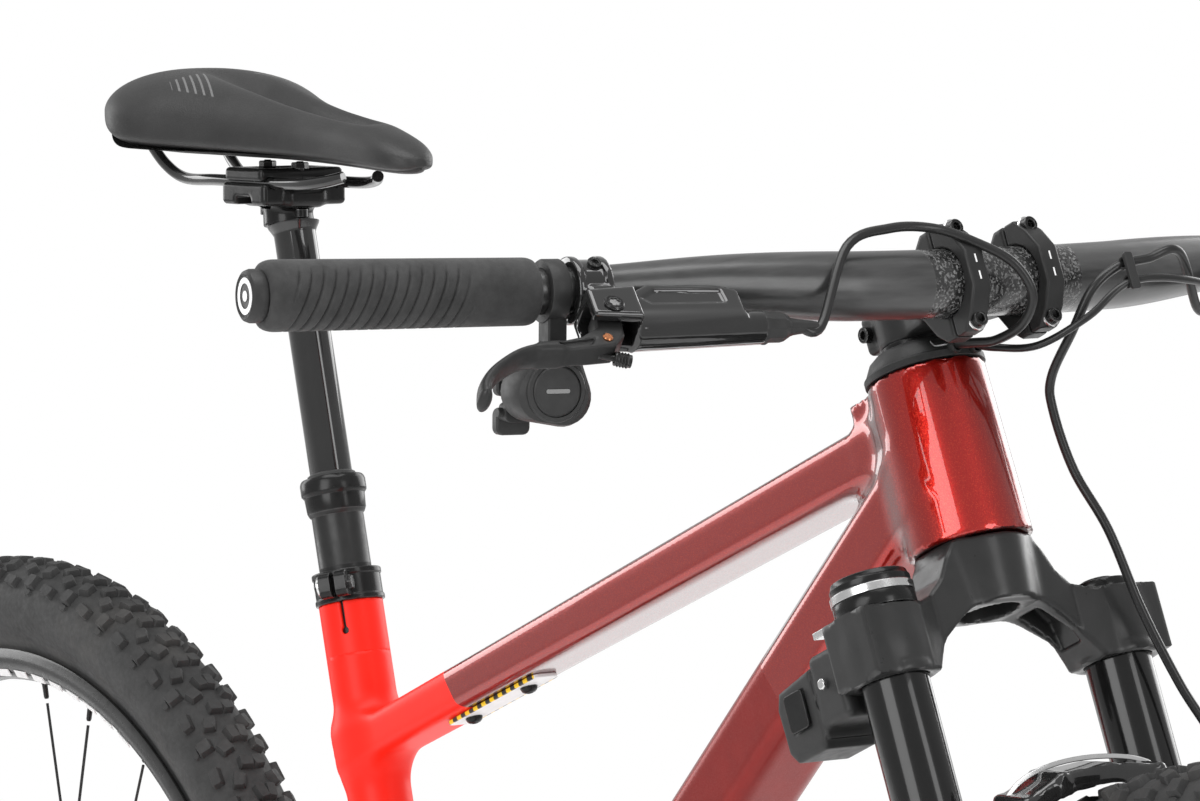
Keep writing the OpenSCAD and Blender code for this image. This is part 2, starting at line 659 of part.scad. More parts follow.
// One spoke and its nipple: it leaves the flange tangentially and meets the rim in the mid-plane
module spoke(at, angle, lean, flange_y, flange_side) {
    hub_angle = angle + lean;
    foot = [31.2 * cos(hub_angle), flange_y + flange_side, 31.2 * sin(hub_angle)];
    head = [(rim_inner - 0.8) * cos(angle), sign(flange_y) * 2, (rim_inner - 0.8) * sin(angle)];
    translate(at) {
        rod(foot, along(foot, head, 0.965), 0.9);
        rod(along(foot, head, 0.955), head, 1.8);
    }
}

module spokes(at, right_flange, left_flange) color("#3a3a3a") for (i = [0:spoke_count - 1])
    spoke(at, i * 360 / spoke_count, (floor(i / 2) % 2 == 0 ? 76 : -76), i % 2 == 0 ? -right_flange : left_flange,
        floor(i / 2) % 2 == 0 ? 1 : -1);

front_right_flange = 32;
front_left_flange = 24;
front_disc_y = 44;
rear_right_flange = 19;
rear_left_flange = 30;
rear_disc_y = 54;

module front_tyre() color("#2a2a2a") tyre(front_axle_at);
module rear_tyre() color("#2a2a2a") tyre(rear_axle_at);
module front_rim() color("#101010") rim(front_axle_at);
module rear_rim() color("#101010") rim(rear_axle_at);
module front_spokes() spokes(front_axle_at, front_right_flange, front_left_flange);
module rear_spokes() spokes(rear_axle_at, rear_right_flange, rear_left_flange);

module hub(at, right_flange, left_flange, right_end, left_end, bore) difference() {
    union() {
        cross_rod(at, -right_end, left_end, 13);
        cross_rod(at, -right_flange - 1.5, -right_flange + 1.5, 30);
        cross_rod(at, left_flange - 1.5, left_flange + 1.5, 30);
        cross_rod(at, -right_flange, left_flange, 17);
    }
    cross_rod(at, -100, 100, bore);
}
module front_hub() color("#1c1c1c") hub(front_axle_at, front_right_flange, front_left_flange, 54.8, 54.8, 7.5 + run);
module rear_hub() color("#1c1c1c") hub(rear_axle_at, rear_right_flange, rear_left_flange, 34, 73.8, 6 + run);

// Brake disc: an outer track on spokes, round a carrier
module rotor(at, y, r) color("silver") difference() {
    cross_rod(at, y, y + 1.8, r);
    cross_rod(at, y - 1, y + 3, 13 + gap);
    for (a = [0:60:300]) translate(at) rotate([0, a, 0]) for (k = [-1, 1])
        cross_rod([r * 0.56, 0, k * 16], y - 1, y + 3, r * 0.13);
}
module front_rotor() rotor(front_axle_at, front_disc_y, front_disc_radius);
module rear_rotor() rotor(rear_axle_at, rear_disc_y, rear_disc_radius);

// ---- rear end ----

stay_radius = 8;
dropout_y = 76;
module swingarm() color("firebrick") difference() {
    union() {
        both_sides() {
            cross_rod(main_pivot, 20.6, 44.8, 15);
            // Chain stay, seat stay and the upright between the pivots
            rod(main_pivot + [-2, 33, 1], rear_axle_at + [6, dropout_y, -4], stay_radius);
            rod(rear_axle_at + [2, dropout_y - 0.5, 6], yoke_pivot + [-1, 37, 1], 7.5);
            rod(main_pivot + [0, 36, 0], yoke_pivot + [0, 37, 0], 8);
            cross_rod(yoke_pivot, 29, 46, 11);
            cross_rod(rear_axle_at, 74.2, 84, 16);
        }
        cross_rod(main_pivot + [-76, 0, -3], -37, 37, 8);
        cross_rod(yoke_pivot, -40, 40, yoke_pin_radius);
    }
    cross_rod(main_pivot, -60, 60, pivot_radius + run);
    cross_rod(rear_axle_at, -100, 100, 6 + gap);
    cross_rod(rear_axle_at, -74, 74, 40);
}

module rear_axle() color("#222222") {
    cross_rod(rear_axle_at, -97, 86, 6);
    cross_rod(rear_axle_at, 84.2, 90, 10);
}

module rear_caliper() color("#141414") difference() {
    translate(rear_axle_at + [58, 44, 14]) cube([42, 16.4, 24]);
    translate(rear_axle_at + [0, rear_disc_y - 1.6, 0]) cube([84, 5, 60]);
}

// ---- drive ----

// The cassette's sprockets, largest by the spokes, on their splined body
sprocket_teeth = [52, 44, 38, 32, 28, 24, 21, 18, 16, 14, 12, 10];
sprocket_step = 2.35;
sprocket_first = chain_plane + 6 * sprocket_step;
module cassette() color("#5a5a5e") difference() {
    union() {
        for (i = [0:len(sprocket_teeth) - 1])
            toothed_disc(rear_axle_at, sprocket_first - i * sprocket_step, tooth_thickness, sprocket_teeth[i]);
        cross_rod(rear_axle_at, -72, -34.3, 15.5);
    }
    cross_rod(rear_axle_at, -100, 0, 6 + run);
}

spindle_radius = 14.5;
module crank_arms() color("#19191a") translate(bottom_bracket) {
    // Right arm forward, with the spindle
    cross_rod([0, 0, 0], -64, 50, spindle_radius);
    crank_arm(1, -1);
    difference() {
        crank_arm(-1, 1);
        cross_rod([0, 0, 0], 40, 51.1, spindle_radius + gap);
    }
}
module crank_arm(way, side) {
    low = side > 0 ? 51.2 : -76;
    difference() {
        union() {
            cross_rod([0, 0, 0], low, low + (side > 0 ? 16 : 18), 19);
            hull() {
                cross_rod([0, 0, 0], low + 2, low + 15, 14);
                cross_rod([way * crank_length, 0, 0], side * 69 - 6.5, side * 69 + 6.5, 13);
            }
        }
        cross_rod([way * crank_length, 0, 0], -100, 100, 7 + run);
    }
}

module chainring() color("#222222") difference() {
    union() {
        toothed_disc(bottom_bracket, chain_plane, tooth_thickness, chainring_teeth);
        cross_rod(bottom_bracket, chain_plane - 5.8, chain_plane - 0.7, 26);
    }
    cross_rod(bottom_bracket, -80, 0, spindle_radius + gap);
    for (a = [0:45:315]) translate(bottom_bracket) rotate([0, a, 0]) cross_rod([43, 0, 0], -60, -40, 9);
}

module pedal(at, side) {
    cross = side > 0 ? 1 : 0;
    translate(at) mirror([0, cross, 0]) {
        cross_rod([0, 0, 0], -178, -62.4, 7);
        difference() {
            translate([-52, -182, -8]) cube([104, 94, 16]);
            cross_rod([0, 0, 0], -178.2, -80, 7.2);
            for (x = [-30, 30]) translate([x - 14, -172, -20]) cube([28, 74, 40]);
        }
        cross_rod([0, 0, 0], -88, -78, 10);
    }
}
module right_pedal() color("#1d1d1e") pedal(bottom_bracket + [crank_length, 0, 0], -1);
module left_pedal() color("#1d1d1e") pedal(bottom_bracket + [-crank_length, 0, 0], 1);

// Derailleur: a base on the axle, a knuckle that shifts sideways, and the sprung cage
base_low = guide_at + [-12, -84, 16];
module derailleur_base() color("#141414") difference() {
    union() {
        cross_rod(rear_axle_at, -95, -84.2, 15);
        rod(rear_axle_at + [0, -93, 0], [base_low[0], -93, base_low[2] + 20], 8);
        cross_rod([base_low[0], 0, base_low[2] + 20], -101, -84.2, 9);
    }
    cross_rod(rear_axle_at, -100, -80, 6 + gap);
}
module derailleur_knuckle() color("#1d1d1e") difference() {
    union() {
        cross_rod([base_low[0], 0, base_low[2] + 20], -81, -68, 9);
        rod([base_low[0], -74, base_low[2] + 20], guide_at + [0, -71, 0], 8);
        cross_rod(guide_at, -79, -64, 12);
    }
    cross_rod(guide_at, -80, -60, 5 + run);
}
cage_half = 6;
module cage_plate() hull() {
    cylinder(h = 1.6, r = 13);
    translate([tension_at[0] - guide_at[0], tension_at[2] - guide_at[2], 0]) cylinder(h = 1.6, r = 12);
}
module derailleur_cage() color("#101010") {
    for (y = [chain_plane + cage_half, chain_plane - cage_half - 1.6]) difference() {
        translate([guide_at[0], y + 1.6, guide_at[2]]) rotate([90, 0, 0]) cage_plate();
        for (p = [guide_at, tension_at]) cross_rod(p, y - 1, y + 3, 3);
    }
    for (p = [guide_at, tension_at])
        cross_rod(p, chain_plane - cage_half - 1.6, chain_plane + cage_half + 1.6, 3);
    cross_rod(guide_at, -78.5, chain_plane - cage_half - 1.6, 5);
}
module pulley(at) difference() {
    toothed_disc(at, chain_plane, tooth_thickness, guide_teeth);
    cross_rod(at, chain_plane - 5, chain_plane + 5, 3 + run);
}
module guide_pulley() color("#2b2b2b") pulley(guide_at);
module tension_pulley() color("#2b2b2b") pulley(tension_at);

// The chain's closed path: arcs of these wheels, joined by straight tangents.
// A wheel's sign says which way the chain goes round it.
chain_wheels = [
    [[bottom_bracket[0], bottom_bracket[2]], pitch_radius(chainring_teeth)],
    [[tension_at[0], tension_at[2]], pitch_radius(guide_teeth)],
    [[guide_at[0], guide_at[2]], -pitch_radius(guide_teeth)],
    [[rear_axle_at[0], rear_axle_at[2]], pitch_radius(driven_teeth)]];
// Angle of the normal shared by the tangent from wheel i to wheel j
function tangent_normal(i, j) = let(d = chain_wheels[j][0] - chain_wheels[i][0])
    atan2(d[1], d[0]) + acos((chain_wheels[i][1] - chain_wheels[j][1]) / norm(d));
function wheel_arc(k, offset) = let(n = len(chain_wheels), w = chain_wheels[k], r = w[1] + offset,
    a0 = tangent_normal((k + n - 1) % n, k), a1 = tangent_normal(k, (k + 1) % n),
    turn = w[1] > 0 ? -((a0 - a1 + 720) % 360) : (a1 - a0 + 720) % 360)
    [for (s = [0:16]) w[0] + r * [cos(a0 + turn * s / 16), sin(a0 + turn * s / 16)]];
module chain_loop(offset) polygon([for (k = [0:len(chain_wheels) - 1]) each wheel_arc(k, offset)]);
module chain() color("#8a8a8a") for (y = [chain_plane + 1.5, chain_plane - 0.85])
    translate([0, y, 0]) rotate([90, 0, 0]) linear_extrude(0.65) difference() {
        chain_loop(4);
        chain_loop(-4);
    }

// ---- shock ----

shock_axis = unit(yoke_pivot - shock_front);
shock_length = norm(yoke_pivot - shock_front);
module shock_barrel() color("#141414") aim(shock_front, shock_axis) difference() {
    union() {
        rotate([90, 0, 0]) cylinder(h = 24.4, r = 9, center = true);
        translate([0, 0, 5]) cylinder(h = 12, r = 9);
        translate([0, 0, 16]) cylinder(h = 92, r = 11.8);
    }
    rotate([90, 0, 0]) cylinder(h = 40, r = 4 + run, center = true);
    translate([0, 0, 30]) cylinder(h = 100, r = 6 + run);
}
module shock_shaft() color("silver") aim(yoke_pivot, -shock_axis) difference() {
    union() {
        rotate([90, 0, 0]) cylinder(h = 24, r = 11, center = true);
        translate([0, 0, 8]) cylinder(h = 10, r = 9);
        translate([0, 0, 8]) cylinder(h = shock_length - 8 - 86, r = 6);
    }
    rotate([90, 0, 0]) cylinder(h = 40, r = yoke_pin_radius + yoke_clearance, center = true);
}

front_frame();
frame_bearings();
seat_collar();
dropper_lower();
accessory_mount();
frame_pivot_axles();
dropper_upper();
saddle_clamp();
saddle_rails();
saddle_shell();
saddle_pad();
fork_crown();
stanchions();
fork_top_caps();
fork_module();
headset_cover();
stem();
stem_clamp_bands();
stem_bolts();
handlebar();
grips();
bar_plugs();
brake_masters();
shift_pods();
control_hoses();
front_brake_hose();
right_brake_lever();
left_brake_lever();
upshift_paddle();
downshift_paddle();
dropper_paddle();
fork_lowers();
front_axle();
front_caliper();
front_tyre();
front_rim();
front_spokes();
front_hub();
front_rotor();
swingarm();
rear_axle();
rear_caliper();
derailleur_base();
chain();
rear_tyre();
rear_rim();
rear_spokes();
rear_hub();
rear_rotor();
cassette();
crank_arms();
chainring();
right_pedal();
left_pedal();
derailleur_knuckle();
derailleur_cage();
guide_pulley();
tension_pulley();
shock_barrel();
shock_shaft();
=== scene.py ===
"""Looks of a full-suspension mountain bike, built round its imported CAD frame.

Shapes are built in millimetres, in the local frame that suits each sub-part (STEER, SEAT, ARM, ...),
and become Blender meshes in metres. Smooth castings are zero surfaces of distance fields; turned,
cut and bent pieces are lathes, prisms and sweeps.
"""
import json
import math

import bpy
import numpy as np
from mathutils import Matrix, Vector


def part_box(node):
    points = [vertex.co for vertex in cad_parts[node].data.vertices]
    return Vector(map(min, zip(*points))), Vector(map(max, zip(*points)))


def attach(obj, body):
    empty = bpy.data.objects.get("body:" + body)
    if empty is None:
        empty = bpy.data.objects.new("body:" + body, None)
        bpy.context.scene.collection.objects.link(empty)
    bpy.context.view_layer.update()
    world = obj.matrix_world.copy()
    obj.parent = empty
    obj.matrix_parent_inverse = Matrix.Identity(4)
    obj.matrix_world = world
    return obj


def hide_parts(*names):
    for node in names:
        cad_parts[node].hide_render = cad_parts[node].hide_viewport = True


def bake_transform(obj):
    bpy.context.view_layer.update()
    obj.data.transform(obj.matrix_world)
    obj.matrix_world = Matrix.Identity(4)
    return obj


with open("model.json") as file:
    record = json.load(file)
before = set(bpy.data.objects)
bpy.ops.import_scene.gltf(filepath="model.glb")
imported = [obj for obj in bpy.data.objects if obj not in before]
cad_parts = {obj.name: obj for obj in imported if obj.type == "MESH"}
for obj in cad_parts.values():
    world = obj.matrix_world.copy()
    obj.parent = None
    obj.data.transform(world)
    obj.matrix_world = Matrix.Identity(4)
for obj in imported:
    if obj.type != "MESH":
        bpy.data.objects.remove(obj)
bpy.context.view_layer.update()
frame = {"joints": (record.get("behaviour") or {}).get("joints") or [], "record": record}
JOINTS = {joint["name"]: joint for joint in frame["joints"]}
BODY_OF = {node: body for body, nodes in frame["record"]["behaviour"]["bodies"].items() for node in nodes}
MM = 0.001

# ---------------------------------------------------------------- places


def joint_at(name):
    return np.array(JOINTS[name]["pos_m"]) / MM


def joint_axis(name):
    return np.array(JOINTS[name]["axis"])


def unit(v):
    v = np.asarray(v, float)
    return v / np.linalg.norm(v)


def local_frame(origin, x, y, z):
    """A 4x4 matrix whose columns are a local frame's axes and origin."""
    matrix = np.eye(4)
    matrix[:3, 0], matrix[:3, 1], matrix[:3, 2], matrix[:3, 3] = x, y, z, origin
    return matrix


def turned(axis, degrees):
    """A rotation about a local axis, 0 to 2, right-handed."""
    c, s = math.cos(math.radians(degrees)), math.sin(math.radians(degrees))
    matrix = np.eye(4)
    i, j = (axis + 1) % 3, (axis + 2) % 3
    matrix[i, i], matrix[i, j], matrix[j, i], matrix[j, j] = c, -s, s, c
    return matrix


def shifted(x, y, z):
    matrix = np.eye(4)
    matrix[:3, 3] = x, y, z
    return matrix


def at(matrix, *point):
    """A local point in the row's frame."""
    return (matrix @ np.array([*point, 1.0]))[:3]


MIRROR = np.diag([1.0, -1.0, 1.0, 1.0])
SIDEWAYS = np.array([0.0, 1.0, 0.0])

head_base = joint_at("steering_turn")
front_axle = joint_at("front_wheel_spin")
rear_axle = joint_at("rear_wheel_spin")
bottom_bracket = joint_at("crank_turn")
main_pivot = joint_at("rear_suspension")
right_pedal_at = joint_at("right_pedal_spin")
left_pedal_at = joint_at("left_pedal_spin")
guide_at = joint_at("guide_pulley_spin")
tension_at = joint_at("tension_pulley_spin")
shock_front = joint_at("shock_swing")

steer_axis = joint_axis("steering_turn")
seat_axis = -joint_axis("dropper_travel")
STEER = local_frame(head_base, np.cross(SIDEWAYS, steer_axis), SIDEWAYS, steer_axis)
seat_top = np.array([-234.0, 0.0, 746.7])
SEAT = local_frame(seat_top, np.cross(SIDEWAYS, seat_axis), SIDEWAYS, seat_axis)

# Head tube, fork and stem, in the steering frame
HEAD_LENGTH = 93.6
HEAD_LOW_R, HEAD_HIGH_R = 32.5, 31.0
LEG_X, LEG_Y = 2.5, 72.4
LOWERS_TOP = -192.0
STANCHION_R = 17.5
COVER_TOP = 108.0
STEERER_TOP = 137.0
STEM_REACH = 67.1
BAR_HEIGHT = 119.5
FORK_OFFSET = 44.0
FORK_LENGTH = 516.8

# Handlebar: each arm has its own frame, x outboard, y forward, z up
BAR_R, BAR_END_R = 17.5, 11.1
BAR_BEND = 57.0
BAR_SWEEP, BAR_RISE = 9.65, 0.73
GRIP_FROM, GRIP_TO = 203.0, 345.0
BRAKE_TILT = 38.0
bar_centre = at(STEER, STEM_REACH, 0, BAR_HEIGHT)
ARM = shifted(*(bar_centre - BAR_BEND * SIDEWAYS)) @ turned(2, -90 - BAR_SWEEP) @ turned(1, -BAR_RISE)
BRAKE = ARM @ turned(0, -BRAKE_TILT)
LEVER_PIVOT = np.array([180.0, 37.9, 13.2])
POD_AT = np.array([199.0, 12.0, -46.0])

# Seat post and saddle
POST_R, DROPPER_R = 15.45, 12.55
saddle_at = at(SEAT, 0, 0, 268.0)
SADDLE = shifted(*saddle_at)

# Wheels and drive
TYRE_R = (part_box("rear_tyre")[1].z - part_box("rear_tyre")[0].z) / MM / 2
TYRE_SECTION = 30.0
RIM_R, RIM_INNER, RIM_HALF = 317.0, 293.0, 17.5
SPOKES = 28
CHAIN_PLANE = -52.0
CHAIN_PITCH = 12.7
CHAINRING_TEETH, DRIVEN_TEETH, PULLEY_TEETH = 32, 21, 12
SPROCKETS = (52, 44, 38, 32, 28, 24, 21, 18, 16, 14, 12, 10)
SPROCKET_STEP = 2.35


def pitch_radius(teeth):
    return CHAIN_PITCH / (2 * math.sin(math.pi / teeth))


# ---------------------------------------------------------------- shapes


class Shape:
    """Points and faces in millimetres. tints holds one material number for each face."""

    def __init__(self, points, faces, tints=None):
        self.points = np.asarray(points, float).reshape(-1, 3)
        self.faces = [tuple(f) for f in faces]
        self.tints = list(tints) if tints is not None else [0] * len(self.faces)

    def __add__(self, other):
        return total([self, other])

    def at(self, matrix):
        """The shape moved by a 4x4 matrix. A mirrored shape keeps its faces outward."""
        points = self.points @ matrix[:3, :3].T + matrix[:3, 3]
        if np.linalg.det(matrix[:3, :3]) < 0:
            return Shape(points, [f[::-1] for f in self.faces], self.tints)
        return Shape(points, self.faces, self.tints)

    def shift(self, x, y, z):
        return self.at(shifted(x, y, z))

    def tint(self, number):
        return Shape(self.points, self.faces, [number] * len(self.faces))


def total(shapes):
    """Joins many shapes at once."""
    points, faces, tints, n = [], [], [], 0
    for shape in shapes:
        points.append(shape.points)
        faces += [tuple(i + n for i in f) for f in shape.faces]
        tints += shape.tints
        n += len(shape.points)
    return Shape(np.vstack(points), faces, tints)


def loft(rings, caps=True, loop=False):
    """Quads between rings that all have the same number of points."""
    rings = np.asarray(rings, float)
    count, n = rings.shape[:2]
    faces = []
    for i in range(count if loop else count - 1):
        a, b = i * n, (i + 1) % count * n
        faces += [(a + k, a + (k + 1) % n, b + (k + 1) % n, b + k) for k in range(n)]
    if caps and not loop:
        faces.append(tuple(range(n - 1, -1, -1)))
        faces.append(tuple((count - 1) * n + k for k in range(n)))
    return Shape(rings.reshape(-1, 3), faces)


def circle(radius, steps=32):
    turn = np.arange(steps) * 2 * math.pi / steps
    return np.stack([radius * np.cos(turn), radius * np.sin(turn)], 1)


def level(outline, z):
    """A 2-D outline as a ring of points at one height."""
    return np.column_stack([outline, np.full(len(outline), z)])


def rounded_rectangle(width, height, radius, steps=5):
    points = []
    for k, (sx, sy) in enumerate(((1, 1), (-1, 1), (-1, -1), (1, -1))):
        for a in np.linspace(0, math.pi / 2, steps):
            turn = a + k * math.pi / 2
            points.append((sx * (width / 2 - radius) + radius * math.cos(turn),
                           sy * (height / 2 - radius) + radius * math.sin(turn)))
    return np.array(points)


def lathe(profile, steps=48, loop=False):
    """Turns a profile of (radius, height) points about Z. A looped profile makes a ring."""
    rings = [level(circle(r, steps), z) for r, z in profile]
    return loft(rings, loop=loop)


def prism(outline, low, high):
    outline = np.asarray(outline, float)
    rings = [level(outline, z) for z in (low, high)]
    return loft(rings)


def frame_prism(outer, inner, low, high):
    """A prism with a hole: both outlines have the same number of points."""
    outer, inner = np.asarray(outer, float), np.asarray(inner, float)
    rings = [level(o, z) for o, z in ((outer, low), (outer, high), (inner, high), (inner, low))]
    return loft(rings, loop=True)


def box(x0, x1, y0, y1, z0, z1):
    return prism([(x0, y0), (x1, y0), (x1, y1), (x0, y1)], z0, z1)


def curve(points, steps=6):
    """A smooth path through points (Catmull-Rom)."""
    p = np.asarray(points, float)
    n, path = len(p) - 1, []
    for i in range(n):
        a, b, c, d = p[max(i - 1, 0)], p[i], p[i + 1], p[min(i + 2, n)]
        for t in np.arange(steps) / steps:
            path.append(0.5 * (2 * b + (c - a) * t + (2 * a - 5 * b + 4 * c - d) * t * t
                               + (3 * b - a - 3 * c + d) * t ** 3))
    return np.array(path + [p[n]])


def sweep(path, section, side=None, caps=True, scale=None):
    """Carries a section (2-D outline, or a radius) along a path without twisting it."""
    path = np.asarray(path, float)
    section = circle(section, 16) if np.isscalar(section) else np.asarray(section, float)
    tangents = np.gradient(path, axis=0)
    tangents /= np.linalg.norm(tangents, axis=1)[:, None]
    if side is None:
        side = np.eye(3)[np.argmin(abs(tangents[0]))]
    across = unit(np.cross(tangents[0], side))
    rings = []
    for i, (p, d) in enumerate(zip(path, tangents)):
        across = unit(across - d * np.dot(across, d))
        up = np.cross(d, across)
        size = 1 if scale is None else scale[i]
        rings.append(p + size * (section[:, :1] * across + section[:, 1:] * up))
    return loft(rings, caps=caps)


def facing_right(place):
    """A frame whose Z points to the bike's right, with X ahead and Y up."""
    return local_frame(place, (1, 0, 0), (0, 0, 1), (0, -1, 0))


def facing_left(place):
    """A frame whose Z points to the bike's left, with X ahead and Y down."""
    return local_frame(place, (1, 0, 0), (0, 0, -1), (0, 1, 0))


def facing_ahead(place):
    """A frame whose Z points ahead, with X to the left and Y up."""
    return local_frame(place, (0, 1, 0), (0, 0, 1), (1, 0, 0))


def aimed(start, direction, side=SIDEWAYS):
    """A frame at start whose Z runs along direction."""
    z = unit(direction)
    x = unit(np.cross(side, z)) if abs(np.dot(side, z)) < 0.99 else unit(np.cross((1, 0, 0), z))
    return local_frame(start, x, np.cross(z, x), z)


def across(x, z):
    """A frame at x, z whose Z runs along the bike's Y."""
    return facing_left((x, 0, z))


def socket_bolt(radius, height, socket=0.5, chamfer=0.4):
    """A screw's head standing on Z = 0, with a hexagonal socket."""
    steps = 24
    turn = np.arange(steps) * 2 * math.pi / steps
    hexagon = socket * radius / np.cos((turn + math.pi / 6) % (math.pi / 3) - math.pi / 6)
    hexagon = np.stack([hexagon * np.cos(turn), hexagon * np.sin(turn)], 1)
    rings = [level(circle(r, steps), z) for r, z in ((radius, 0), (radius, height - chamfer),
                                                     (radius - chamfer, height),
                                                     (radius * (socket + 1) / 2 + 0.2, height))]
    rings += [level(hexagon * k, z) for k, z in ((1.12, height), (1.0, height - 0.25),
                                                 (0.98, height * 0.35))]
    return loft(rings)


# ---------------------------------------------------------------- distance fields

# A field takes an array of points and gives a signed distance for each: below zero is inside.


def smooth_union(reach, *values):
    result = values[0]
    for value in values[1:]:
        h = np.clip(0.5 + 0.5 * (value - result) / reach, 0, 1)
        result = value * (1 - h) + result * h - reach * h * (1 - h)
    return result


def smooth_cut(reach, value, tool):
    return -smooth_union(reach, -value, tool)


def smooth_common(reach, *values):
    return -smooth_union(reach, *[-v for v in values])


def rod_field(p, a, b, ra, rb=None, flat=True, edge=1.5):
    """A round bar from a to b that may taper, with flat (edge-rounded) or ball ends."""
    a, b = np.asarray(a, float), np.asarray(b, float)
    rb = ra if rb is None else rb
    length = np.linalg.norm(b - a)
    d = (b - a) / length
    s = (p - a) @ d
    t = np.clip(s / length, 0, 1)
    if not flat:
        return np.linalg.norm(p - a - (t * length)[..., None] * d, axis=-1) - (ra + (rb - ra) * t)
    side = np.linalg.norm(p - a - s[..., None] * d, axis=-1) - (ra + (rb - ra) * t)
    return smooth_common(edge, side, np.maximum(-s, s - length))


def block_field(p, centre, half, edge=2.0):
    q = abs(p - np.asarray(centre, float)) - (np.asarray(half, float) - edge)
    return np.linalg.norm(np.maximum(q, 0), axis=-1) + np.minimum(q.max(axis=-1), 0) - edge


def outline_field(u, v, outline):
    """Signed distance to a closed 2-D outline."""
    outline = np.asarray(outline, float)
    following = np.roll(outline, -1, axis=0)
    best = np.full(np.shape(u), 1e9)
    inside = np.zeros(np.shape(u), bool)
    for (ax, ay), (bx, by) in zip(outline, following):
        ex, ey = bx - ax, by - ay
        t = np.clip(((u - ax) * ex + (v - ay) * ey) / (ex * ex + ey * ey), 0, 1)
        best = np.minimum(best, np.hypot(u - ax - t * ex, v - ay - t * ey))
        crosses = (ay > v) != (by > v)
        slope = ex / ey if ey else 0.0
        inside ^= crosses & (u < ax + (v - ay) * slope)
    return np.where(inside, -best, best)


def faceted_field(p, a, b, normal, facets, edge=3.0, ends=2.0):
    """A tube from a to b with flat facets. Each facet is (angle from the side towards normal, distance
    from the axis at a, at b), the same on both sides of the mid-plane."""
    a, b, normal = np.asarray(a, float), np.asarray(b, float), unit(normal)
    length = np.linalg.norm(b - a)
    d = (b - a) / length
    q = p - a
    s = q @ d
    t = np.clip(s / length, 0, 1)
    u, v = abs(q[..., 1]), q @ normal
    sides = []
    for angle, near, far in facets:
        turn = math.radians(angle)
        sides.append(math.cos(turn) * u + math.sin(turn) * v - (near + (far - near) * t))
    return smooth_common(ends, smooth_common(edge, *sides), np.maximum(-s, s - length))


def skin(field, low, high, step):
    """The zero surface of a field inside a box, as quads (surface nets), drawn onto the surface."""
    low, high = np.asarray(low, float), np.asarray(high, float)
    counts = np.ceil((high - low) / step).astype(int) + 1
    axes = [low[k] + step * np.arange(counts[k]) for k in range(3)]
    value = np.empty(counts)
    yz = np.stack(np.meshgrid(axes[1], axes[2], indexing="ij"), -1)
    slab = 24  # planes of the grid worked at a time
    for i in range(0, counts[0], slab):
        x = axes[0][i:i + slab]
        p = np.empty((len(x),) + yz.shape[:2] + (3,))
        p[..., 0], p[..., 1:] = x[:, None, None], yz
        value[i:i + slab] = field(p)
    inside = value < 0
    corners = [(i, j, k) for i in (0, 1) for j in (0, 1) for k in (0, 1)]

    def corner(array, c):
        return array[c[0]:counts[0] - 1 + c[0], c[1]:counts[1] - 1 + c[1], c[2]:counts[2] - 1 + c[2]]

    number_inside = sum(corner(inside, c).astype(np.int8) for c in corners)
    active = np.argwhere((number_inside > 0) & (number_inside < 8))
    index = np.full(counts - 1, -1, int)
    index[tuple(active.T)] = np.arange(len(active))
    points, crossings = np.zeros((len(active), 3)), np.zeros(len(active))
    for c in corners:
        for k in range(3):
            if c[k]:
                continue
            e = list(c)
            e[k] = 1
            va, vb = value[tuple((active + c).T)], value[tuple((active + e).T)]
            cross = (va < 0) != (vb < 0)
            t = np.where(cross, va / np.where(cross, va - vb, 1), 0)
            spot = np.array(c, float) + np.eye(3)[k] * t[:, None]
            points += np.where(cross[:, None], spot, 0)
            crossings += cross
    points = low + step * (active + points / crossings[:, None])
    faces = []
    for k in range(3):
        i, j = (k + 1) % 3, (k + 2) % 3
        a = inside.take(range(counts[k] - 1), k)
        b = inside.take(range(1, counts[k]), k)
        edges = np.argwhere(a != b)
        edges = edges[(edges[:, i] > 0) & (edges[:, j] > 0) & (edges[:, i] < counts[i] - 1) & (edges[:,
                j] < counts[j] - 1)]
        outward = a[tuple(edges.T)]
        ei, ej = np.eye(3, dtype=int)[i], np.eye(3, dtype=int)[j]
        quad = np.stack([index[tuple((edges - o).T)] for o in (0 * ei, ei, ei + ej, ej)], 1)
        quad[~outward] = quad[~outward][:, ::-1]
        faces.append(quad)
    faces = np.vstack(faces)
    h = 0.05 * step
    for _ in range(3):
        here = field(points)
        slope = np.stack([(field(points + h * np.eye(3)[k]) - here) / h for k in range(3)], 1)
        size = np.maximum((slope ** 2).sum(1), 0.05)
        move = -(here / size)[:, None] * slope
        length = np.linalg.norm(move, axis=1)[:, None]
        points = points + move * np.minimum(1, 0.6 * step / np.maximum(length, 1e-9))
    return Shape(points, faces.tolist())


# ---------------------------------------------------------------- pieces


